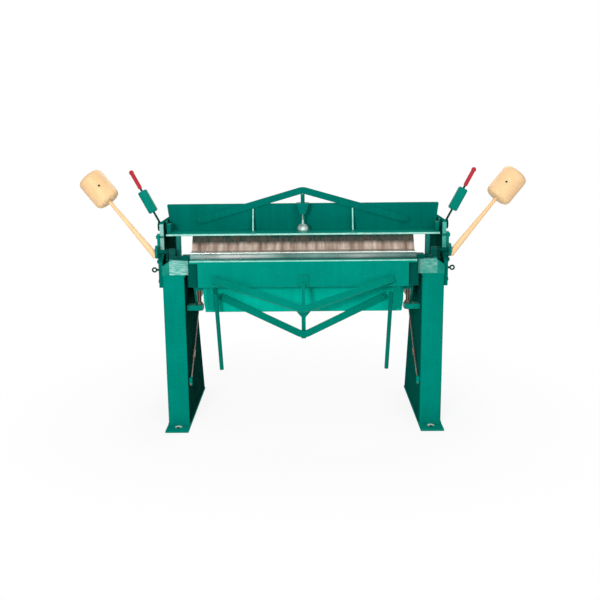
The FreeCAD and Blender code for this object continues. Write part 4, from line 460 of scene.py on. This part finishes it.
washer_tree, add, entry = growing_tree(
    "washers", Washer_radius="Float", Hole_radius="Float", Washer_thickness="Float",
)
section_width = reckoned(add, "SUBTRACT", entry["Washer radius"], entry["Hole radius"])
middle = reckoned(add, "MULTIPLY_ADD", section_width, 0.5, entry["Hole radius"])
ring = add("GeometryNodeCurvePrimitiveCircle", Resolution=32, Radius=middle).outputs[0]
thick = entry["Washer thickness"]
section = add("GeometryNodeCurvePrimitiveQuadrilateral", Width=section_width, Height=thick).outputs[0]
eased = add("GeometryNodeFilletCurve", {"mode": "POLY"}, Curve=section, Count=2, Radius=0.0004).outputs[0]
laid_at_points(add, entry, add("GeometryNodeCurveToMesh", Curve=ring, Profile_Curve=eased).outputs[0])


def solids_of(node):
    """The corner points of each separate solid of a CAD node."""
    shape = bmesh.new()
    shape.from_mesh(frame["nodes"][node].data)
    bmesh.ops.remove_doubles(shape, verts=shape.verts, dist=0.00001)
    seen, solids = set(), []
    for first in shape.verts:
        if first in seen:
            continue
        seen.add(first)
        solid = [first]
        for corner in solid:
            for edge in corner.link_edges:
                other = edge.other_vert(corner)
                if other not in seen:
                    seen.add(other)
                    solid.append(other)
        solids.append([corner.co.copy() for corner in solid])
    shape.free()
    return solids


def middle_of(low, high):
    """The middle of a box."""
    return (Vector(low) + Vector(high)) / 2


def bolt_seats(node, way):
    """The middle of each bolt head's underside, and the way that the head points along the given axis."""
    seats = []
    for points in solids_of(node):
        low = [min(point[axis] for point in points) for axis in range(3)]
        high = [max(point[axis] for point in points) for axis in range(3)]
        middle = middle_of(low, high)
        arms = [point - middle for point in points]
        widest = max(arm.cross(way).length for arm in arms)
        corners = [arm.dot(way) for arm in arms if arm.cross(way).length > widest * 0.97]
        outward = 1 if sum(corners) > 0 else -1
        seat = min(corners) if outward > 0 else max(corners)
        seats.append((middle + way * seat, way * outward))
    return seats


def washers(name, seats, body, finish, radius):
    """Washers at bolt seats."""
    thickness = 0.0024
    points = [seat + way * thickness / 2 for seat, way in seats]
    return grown(washer_tree, name, points, [], body, "dark_steel", facing=[way for seat, way in seats],
                 Washer_radius=radius, Hole_radius=0.0066, Washer_thickness=thickness, Finish=finish)


washers("frame_bolt_washers", bolt_seats("frame_bolts", Vector((1, 0, 0))), "frame", green, 0.0130)

thread_tree, add, entry = growing_tree(
    "threads", Thread_radius="Float", Ridge_size="Float", Thread_length="Float", Turns="Float",
)
helix = add(
    "GeometryNodeCurveSpiral", Resolution=20, Rotations=entry["Turns"], Start_Radius=entry["Thread radius"],
    End_Radius=entry["Thread radius"], Height=entry["Thread length"],
).outputs[0]
ridge = add("GeometryNodeCurvePrimitiveCircle", Resolution=5, Radius=entry["Ridge size"]).outputs[0]
wound = add("GeometryNodeCurveToMesh", Curve=helix, Profile_Curve=ridge, Fill_Caps=True).outputs[0]
laid_at_points(add, entry, wound)


def threads(name, starts, way, body, slot, finish, radius, length, pitch=0.0018):
    """Rolled threads that start at points and run one way, or each its own way."""
    ways = way if isinstance(way, list) else [way] * len(starts)
    return grown(thread_tree, name, starts, [], body, slot, facing=ways, Thread_radius=radius,
                 Ridge_size=pitch * 0.3, Thread_length=length, Turns=length / pitch, Finish=finish)


eye_middle = middle_of(*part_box("lifting_eyes"))
plate_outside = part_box("right_head_plate")[1][0] + 0.0002
eye_starts = [Vector((hand * plate_outside, eye_middle.y, eye_middle.z)) for hand in (-1, 1)]
eye_ways = [Vector((hand, 0, 0)) for hand in (-1, 1)]
threads("eye_threads", eye_starts, eye_ways, "frame", "dark_steel", dark_green, 0.0058, 0.010)

# Bed
# A heavy flat bar on a front plate carries the work; its upper front edge is the bend line. The end
# plates reach back to the tie rods. A bent flat bar under a flared strut keeps the bed from
# sagging, and screws with lock nuts between lugs and shelves set it level.
def steel_finish(name, dark, light, along, roughness, rust=None, rust_share=0.0, bands=None):
    """Machined steel: tool marks that run along one axis, oily clouds, and rust where it is asked for."""
    material, shader, add = new_finish(name, metallic=1.0)
    place = add("ShaderNodeTexCoord").outputs["Object"]
    fine = [520.0, 520.0, 520.0]
    fine["XYZ".index(along)] = 4.0
    marks = noise(add, stretched(add, place, fine), detail=2.0)
    cloud = noise(add, place, 7.0, 5.0, 0.62)
    share = reckoned(add, "MULTIPLY_ADD", marks, 0.5, cloud)
    color = mixed(add, ranged(add, share, 0.5, 1.0), dark, light)
    if bands:
        color = bands(add, place, color)
    if rust:
        bloom = noise(add, place, 26.0, 6.0, 0.7)
        spread = times(add, ranged(add, bloom, 0.42, 0.62), rust_share)
        color = mixed(add, spread, color, rust)
    links = material.node_tree.links
    edge = add("ShaderNodeAttribute", {"attribute_name": "rim"}).outputs["Fac"]
    polished = tuple(min(1.0, part * 1.4 + 0.08) for part in light)
    color = mixed(add, times(add, edge, 0.4), color, polished)
    links.new(color, shader.inputs["Base Color"])
    sheen = ranged(add, cloud, 0.3, 0.72, roughness - 0.08, roughness + 0.12)
    links.new(sheen, shader.inputs["Roughness"])
    bump = add("ShaderNodeBump", Height=marks, Strength=0.4, Distance=0.00006)
    links.new(bump.outputs[0], shader.inputs["Normal"])
    return material


# The bed front plate's enamel is painted about twice as bright as the other green: painted light that lifts
# the apron's shadow from it.
lit_bed_green = enamel("bed enamel", (0.0, 0.32, 0.235), (0.0, 0.43, 0.32), (0.10, 0.52, 0.43))
dressed(["bed_front_plate"], 0.0014, lit_bed_green, edge_wear_and_highlight=0.1)
for node in ("bed_truss_bar", "bed_truss_strut", "bed_support_lugs", "left_bed_end", "right_bed_end"):
    dressed([node], 0.0014, green, edge_wear_and_highlight=0.1)
bed_steel = steel_finish("bed steel", (0.10, 0.16, 0.14), (0.34, 0.42, 0.39), "X", 0.36)
dressed(["bed_top_bar"], 0.0010, bed_steel)
old_steel = steel_finish(
    "oxidised steel", (0.10, 0.07, 0.055), (0.26, 0.2, 0.17), "Z", 0.5, (0.2, 0.09, 0.05), 0.7,
)
dressed(["bed_leveling_screws"], 0.0007, old_steel)
rod_steel = steel_finish(
    "rod steel", (0.16, 0.12, 0.10), (0.5, 0.42, 0.38), "Z", 0.5, (0.3, 0.16, 0.1), 0.5,
)
for node in ("tie_rods", "turnbuckles"):
    dressed([node], 0.0007, rod_steel)
up = Vector((0, 0, 1))
screw_low, screw_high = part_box("bed_leveling_screws")
screw_end = 0.002
screw_starts = []
for points in solids_of("bed_leveling_screws"):
    places = [point.x for point in points]
    middle_x, middle_y = (min(places) + max(places)) / 2, (screw_low[1] + screw_high[1]) / 2
    screw_starts.append(Vector((middle_x, middle_y, screw_low[2] + screw_end)))
screw_length = screw_high[2] - screw_low[2] - 2 * screw_end
threads(
    "leveling_threads", screw_starts, up, "frame", "bare_steel", old_steel, 0.0098, screw_length, 0.0025,
)
strut_face, strut_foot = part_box("bed_truss_strut")[0][1:]
plate_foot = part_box("bed_front_plate")[0][2]
strut_weld = [
    [(-0.011, strut_face - 0.0005, plate_foot + 0.001), (0.011, strut_face - 0.0005, plate_foot + 0.001)],
    [(-0.010, strut_face, strut_foot + 0.001), (0.010, strut_face, strut_foot + 0.001)],
]
welds("bed_truss_welds", strut_weld, green, radius=0.003, seed=9)

# Top leaf
# A thick plate with a tall web behind it, two sloped ribs, and castings at its ends that the cranks
# lift. The web and the parts round it are painted darker as shade; the plate's front edge and the
# ribs' sloped faces carry a painted highlight.
# Enamel painted darker as shade, for the web, castings, clamp bar, truss, hubs and cranks.
shaded_web_green = enamel("web enamel", (0.0, 0.13, 0.102), (0.0, 0.178, 0.14), (0.06, 0.36, 0.3), 0.42)


def rib_face(place, normal):
    """The ribs' sloped front faces, which carry a painted highlight."""
    return normal.y < -0.6


def plate_edge(place, normal):
    """The plate's front edge, which carries a painted highlight."""
    return normal.y < -0.8


for node in ("top_leaf_web", "left_lift_casting", "right_lift_casting", "finger_clamp_bar"):
    dressed([node], 0.0014, shaded_web_green)
# Enamel whose chosen faces carry a strong pale painted highlight.
highlight_rim_green = enamel("highlight edge enamel", (0.0, 0.2, 0.15), (0.0, 0.25, 0.19), (0.42, 0.8, 0.7))
dressed(["top_leaf_ribs"], 0.0010, highlight_rim_green, pale=rib_face)
dressed(["top_leaf_plate"], 0.0030, highlight_rim_green, pale=plate_edge)
truss_green = enamel("truss enamel", (0.0, 0.135, 0.1), (0.0, 0.172, 0.13), (0.06, 0.36, 0.3), 0.4)
for node in ("top_truss_bar", "top_truss_strut"):
    dressed([node], 0.0014, shaded_web_green, edge_wear_and_highlight=0.1)
post_green = enamel("post enamel", (0.0, 0.14, 0.115), (0.02, 0.2, 0.165), (0.1, 0.4, 0.34), 0.3, gloss=0.3)
dressed(["guide_posts"], 0.0008, post_green)
# The bolt heads' eased edges get a strong pale film, a painted highlight.
dressed(["top_leaf_bolts"], 0.0008, truss_green, edge_wear_and_highlight=0.8)
leaf_seats = bolt_seats("top_leaf_bolts", Vector((0, 1, 0)))
washers("top_leaf_washers", leaf_seats, "top_leaf", truss_green, 0.0126)

# The truss screw and its nut
# A threaded rod stands under the strut's bracket on a domed, zinc-plated nut with a washer, and
# pushes the strut up to crown the leaf. The nut is bright, with a teal tint that is a painted reflection of
# the green enamel round it, and dark teal mottles.
# Teal-tinted zinc: the tint is a painted reflection of the green enamel round it.
zinc = steel_finish("zinc", (0.3, 0.44, 0.4), (0.82, 0.93, 0.9), "Z", 0.55, (0.04, 0.13, 0.11), 0.8)
dressed(["top_truss_nut"], 0.0012, zinc)
dressed(["top_truss_screw"], 0.0008, zinc)
truss_screw = middle_of(*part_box("top_truss_screw"))
nut_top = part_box("top_truss_nut")[1][2]
truss_start = Vector((truss_screw.x, truss_screw.y, nut_top - 0.0015))
threads("truss_screw_threads", [truss_start], up, "top_leaf", "bright_steel", zinc, 0.0060, 0.056)

# Fingers
# Thirteen fingers in three widths, of ground steel with patches of light rust. Their noses carry a
# painted highlight, warm and pinkish as a painted reflection; above, the steel is painted dark as shade,
# darkest green at the top under the plate, with a painted shadow along the bottom edge. Each has an
# eased edge and its own tint.
finger_tip_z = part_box("wide_fingers")[0][2]


def finger_bands(add, place, color):
    """Painted highlight on the noses below, warm and pinkish as a painted reflection, and painted shade on
    the bodies above, in irregular patches from finger to finger.
    """
    axes = add("ShaderNodeSeparateXYZ", Vector=place).outputs
    patches = noise(add, stretched(add, place, (24.0, 0.5, 5.0)))
    streaks = noise(add, stretched(add, place, (150.0, 9.0, 9.0)))
    rise = reckoned(add, "SUBTRACT", axes[2], finger_tip_z)
    edge = reckoned(add, "MULTIPLY_ADD", patches, -0.014, rise)
    low = ranged(add, edge, 0.0196, 0.0396, 1.0, 0.0)
    nose = mixed(add, ranged(add, patches, 0.35, 0.66), (0.2, 0.135, 0.105), (0.66, 0.55, 0.47))
    nose = mixed(add, ranged(add, streaks, 0.5, 0.7, 0.0, 0.65), nose, (0.35, 0.24, 0.19))
    upper = mixed(add, ranged(add, streaks, 0.36, 0.66), (0.02, 0.042, 0.037), (0.07, 0.082, 0.07))
    # The top of each finger is painted dark green as the shade under the plate.
    upper = mixed(add, ranged(add, rise, 0.0596, 0.0696), upper, (0.004, 0.05, 0.042))
    # A dark painted shadow line along the bottom edge, under the fingers.
    tip = ranged(add, rise, 0.0006, 0.0046, 0.8, 0.0)
    nose = mixed(add, tip, nose, (0.12, 0.06, 0.045))
    return mixed(add, low, upper, nose)


finger_steel = steel_finish(
    "finger steel", (0.2, 0.15, 0.12), (0.5, 0.4, 0.34), "Z", 0.42, (0.24, 0.12, 0.07), 0.25, finger_bands,
)
for node in ("wide_fingers", "middle_fingers", "narrow_fingers"):
    dressed([node], 0.0009, finger_steel)

# Bending leaf
# The apron plate hangs on a ledge that is bent round at its front, and leaf ends with bearing
# knuckles carry it on pins. A second bent bar stiffens it, seen from below on its square strut.
# The ledge's front edge carries a painted highlight, and the nose bar is bare machined steel.
ledge_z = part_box("apron_plate")[1][2]


def ledge_edge(place, normal):
    """The ledge's rounded front edge, which carries a painted highlight."""
    return place.z > ledge_z - 0.007 and normal.y < -0.5


dressed(["apron_plate"], 0.0016, highlight_rim_green, pale=ledge_edge, edge_wear_and_highlight=0.04)
# The leaf ends and hinge pins get a near-black enamel that is painted shade.
shaded_green = enamel(
    "leaf end enamel", (0.0, 0.058, 0.045), (0.0, 0.09, 0.07), (0.04, 0.26, 0.21), 0.45, gloss=0.05,
)
for node in ("left_leaf_end", "right_leaf_end"):
    dressed([node], 0.0020, shaded_green)
for node in ("leaf_truss_bar", "leaf_truss_strut", "handle_brackets"):
    dressed([node], 0.0014, green, edge_wear_and_highlight=0.1)
dressed(["lifting_handles"], 0.0014, truss_green)
dressed(["arm_hubs"], 0.0016, shaded_web_green)
dressed(["hinge_pins"], 0.0010, shaded_green)
bar_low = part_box("nose_bar")[0]


def nose_bands(add, place, color):
    """The bar's face: painted reflection highlights, strongest at two places along the bar and patchy
    elsewhere, a dark teal painted reflection of the green ledge along its foot and a darker painted shadow
    band under its top; the top face a painted reflection, pale in front and dark behind.
    """
    axes = add("ShaderNodeSeparateXYZ", Vector=place).outputs
    waves = noise(add, stretched(add, place, (2.6, 30.0, 90.0)))
    rise = reckoned(add, "SUBTRACT", axes[2], bar_low[2])
    wavy = reckoned(add, "MULTIPLY_ADD", waves, 0.016, rise)
    glint_patches = noise(add, stretched(add, place, (7.0, 0.5, 0.5)))
    bright = times(add, ranged(add, glint_patches, 0.35, 0.6), 0.25)
    for middle, reach, most in ((-0.36, 0.30, 0.95), (0.31, 0.22, 0.6)):
        away = reckoned(add, "ABSOLUTE", reckoned(add, "SUBTRACT", axes[0], middle))
        bright = reckoned(add, "MAXIMUM", bright, ranged(add, away, 0.0, reach, most, 0.0))
    bright = mixed(add, bright, (0.06, 0.2, 0.17), (0.56, 0.57, 0.55))
    face = mixed(add, ranged(add, wavy, 0.011, 0.022), (0.05, 0.12, 0.11), bright)
    face = mixed(add, ranged(add, wavy, 0.029, 0.039), face, (0.1, 0.18, 0.16))
    depth = reckoned(add, "SUBTRACT", axes[1], bar_low[1])
    upper = mixed(add, ranged(add, depth, 0.029, 0.035), (0.86, 0.92, 0.87), (0.16, 0.2, 0.17))
    return mixed(add, ranged(add, rise, 0.0335, 0.0355), face, upper)


# The nose bar's face and top carry painted reflections and a painted shadow line.
nose_steel = steel_finish("nose steel", (0.3, 0.33, 0.32), (0.62, 0.66, 0.64), "X", 0.3, bands=nose_bands)
dressed(["nose_bar"], 0.0012, nose_steel)

# Counterweights
# Tapered arms, screwed into hubs outside the head plates, carry drum weights with well rounded
# edges. Arms and weights are brushed with cream enamel; a set screw holds each weight.
cream = enamel(
    "cream enamel", (0.83, 0.54, 0.28), (0.9, 0.63, 0.35), (0.9, 0.66, 0.42), 0.4, 0.00003,
    dust=0.0, gloss=0.4,
)
dressed(["counterweight_arms"], 0.0010, cream)


def cast_smooth(node, grain, finish):
    """A casting with soft edges: the CAD solid, filled with an even net of faces and smoothed."""
    source = bpy.data.objects.new(node + "_source", frame["nodes"][node].data)
    bpy.context.scene.collection.objects.link(source)
    source.modifiers.new("net", "REMESH").voxel_size = grain
    soften = source.modifiers.new("soften", "SMOOTH")
    soften.factor = 0.5
    soften.iterations = 8
    bpy.context.view_layer.update()
    mesh = bpy.data.meshes.new_from_object(source.evaluated_get(bpy.context.evaluated_depsgraph_get()))
    mesh.name = node + "_piece"
    bpy.data.objects.remove(source)
    mesh.shade_smooth()
    mesh.materials.clear()
    mesh.materials.append(finish)
    return placed(mesh, node + "_piece", body_of[node], [node])


for side in ("left", "right"):
    cast_smooth(side + "_counterweight", 0.0022, cream)
    dressed([side + "_weight_screw"], 0.0006, dark_green)

# Clamp levers
# A crank with its pin turns in each head plate and lifts the leaf. The lever on its shaft is a
# dark round rod through a green block, and ends in a grip dipped in red vinyl with a ball end.
red = enamel(
    "red vinyl", (0.38, 0.02, 0.03), (0.52, 0.045, 0.06), (0.72, 0.16, 0.18), 0.36, 0.0003, dust=0.1,
)
# The block's eased edges are darkened towards near-black green, painted shade at its rounded ends.
block_green = enamel(
    "block enamel", (0.0, 0.18, 0.14), (0.005, 0.24, 0.18), (0.0, 0.07, 0.06), rim_share=1.0,
)
for side in ("left", "right"):
    dressed([side + "_clamp_crank"], 0.0010, shaded_web_green)
    dressed([side + "_clamp_lever"], 0.0008, dark_green)
    dressed([side + "_lever_block"], 0.0012, block_green)
    dressed([side + "_clamp_grip"], 0.0006, red)

# Floor, backdrop and light
# A white floor runs out to a white surround, which metal reflects too. A soft lamp on the left, a
# little above the camera, gives short shadows to the right; weaker ones fill from the right and
# from above and behind.
floor_mesh = bpy.data.meshes.new("floor")
floor_mesh.from_pydata([(-30, -30, 0), (30, -30, 0), (30, 30, 0), (-30, 30, 0)], [], [(0, 1, 2, 3)])
floor = bpy.data.objects.new("floor", floor_mesh)
bpy.context.scene.collection.objects.link(floor)
floor.location.z = -0.0005
floor_paper = bpy.data.materials.new("floor paper")
floor_paper.use_nodes = True
floor_paper.node_tree.nodes.clear()
add = node_setter(floor_paper.node_tree)
place = add("ShaderNodeTexCoord").outputs["Object"]
far = add("ShaderNodeVectorMath", {"operation": "LENGTH"}, Vector=place).outputs["Value"]
whiten = ranged(add, far, 0.9, 1.9, 0.86, 1.0)
path = add("ShaderNodeLightPath").outputs
matte = add("ShaderNodeBsdfDiffuse", Color=(0.8, 0.8, 0.8, 1))
glow = add("ShaderNodeEmission", Color=(1, 1, 1, 1), Strength=1.0)
share = times(add, path["Is Camera Ray"], whiten)
blend = add("ShaderNodeMixShader", _0=share, _1=matte.outputs[0], _2=glow.outputs[0])
add("ShaderNodeOutputMaterial", Surface=blend.outputs[0])
floor_mesh.materials.append(floor_paper)
floor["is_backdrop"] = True

world = bpy.data.worlds.new("studio")
bpy.context.scene.world = world
world.use_nodes = True
world.node_tree.nodes.clear()
add = node_setter(world.node_tree)
path = add("ShaderNodeLightPath").outputs
clear = reckoned(add, "MAXIMUM", path["Is Camera Ray"], path["Is Transmission Ray"])
clear = reckoned(add, "MAXIMUM", clear, path["Is Glossy Ray"])
rise = add("ShaderNodeSeparateXYZ", Vector=add("ShaderNodeTexCoord").outputs["Generated"]).outputs[2]
sky_light = ranged(add, rise, 0.05, 0.75, 0.16, 0.72)
strength = add("ShaderNodeMix", {"data_type": "FLOAT"}, _0=clear, _2=sky_light, _3=1.0).outputs[0]
sky = add("ShaderNodeBackground", Color=(1, 1, 1, 1), Strength=strength)
add("ShaderNodeOutputWorld", Surface=sky.outputs[0])

machine_middle = Vector((0, 0, 0.8))
for name, place, size, power in (
    ("key", (-1.4, -4.7, 2.0), 0.7, 112),
    ("front_fill", (1.6, -4.2, 2.8), 2.6, 53),
    ("rear_fill", (0.5, 3.0, 4.0), 3.0, 70),
):
    lamp_data = bpy.data.lights.new(name, "AREA")
    lamp_data.size = size
    lamp_data.energy = power
    lamp = bpy.data.objects.new(name, lamp_data)
    bpy.context.scene.collection.objects.link(lamp)
    aim = (machine_middle - Vector(place)).to_track_quat("-Z", "Y").to_matrix().to_4x4()
    lamp.matrix_world = Matrix.Translation(place) @ aim

bpy.context.scene.view_settings.view_transform = "Standard"

low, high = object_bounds()
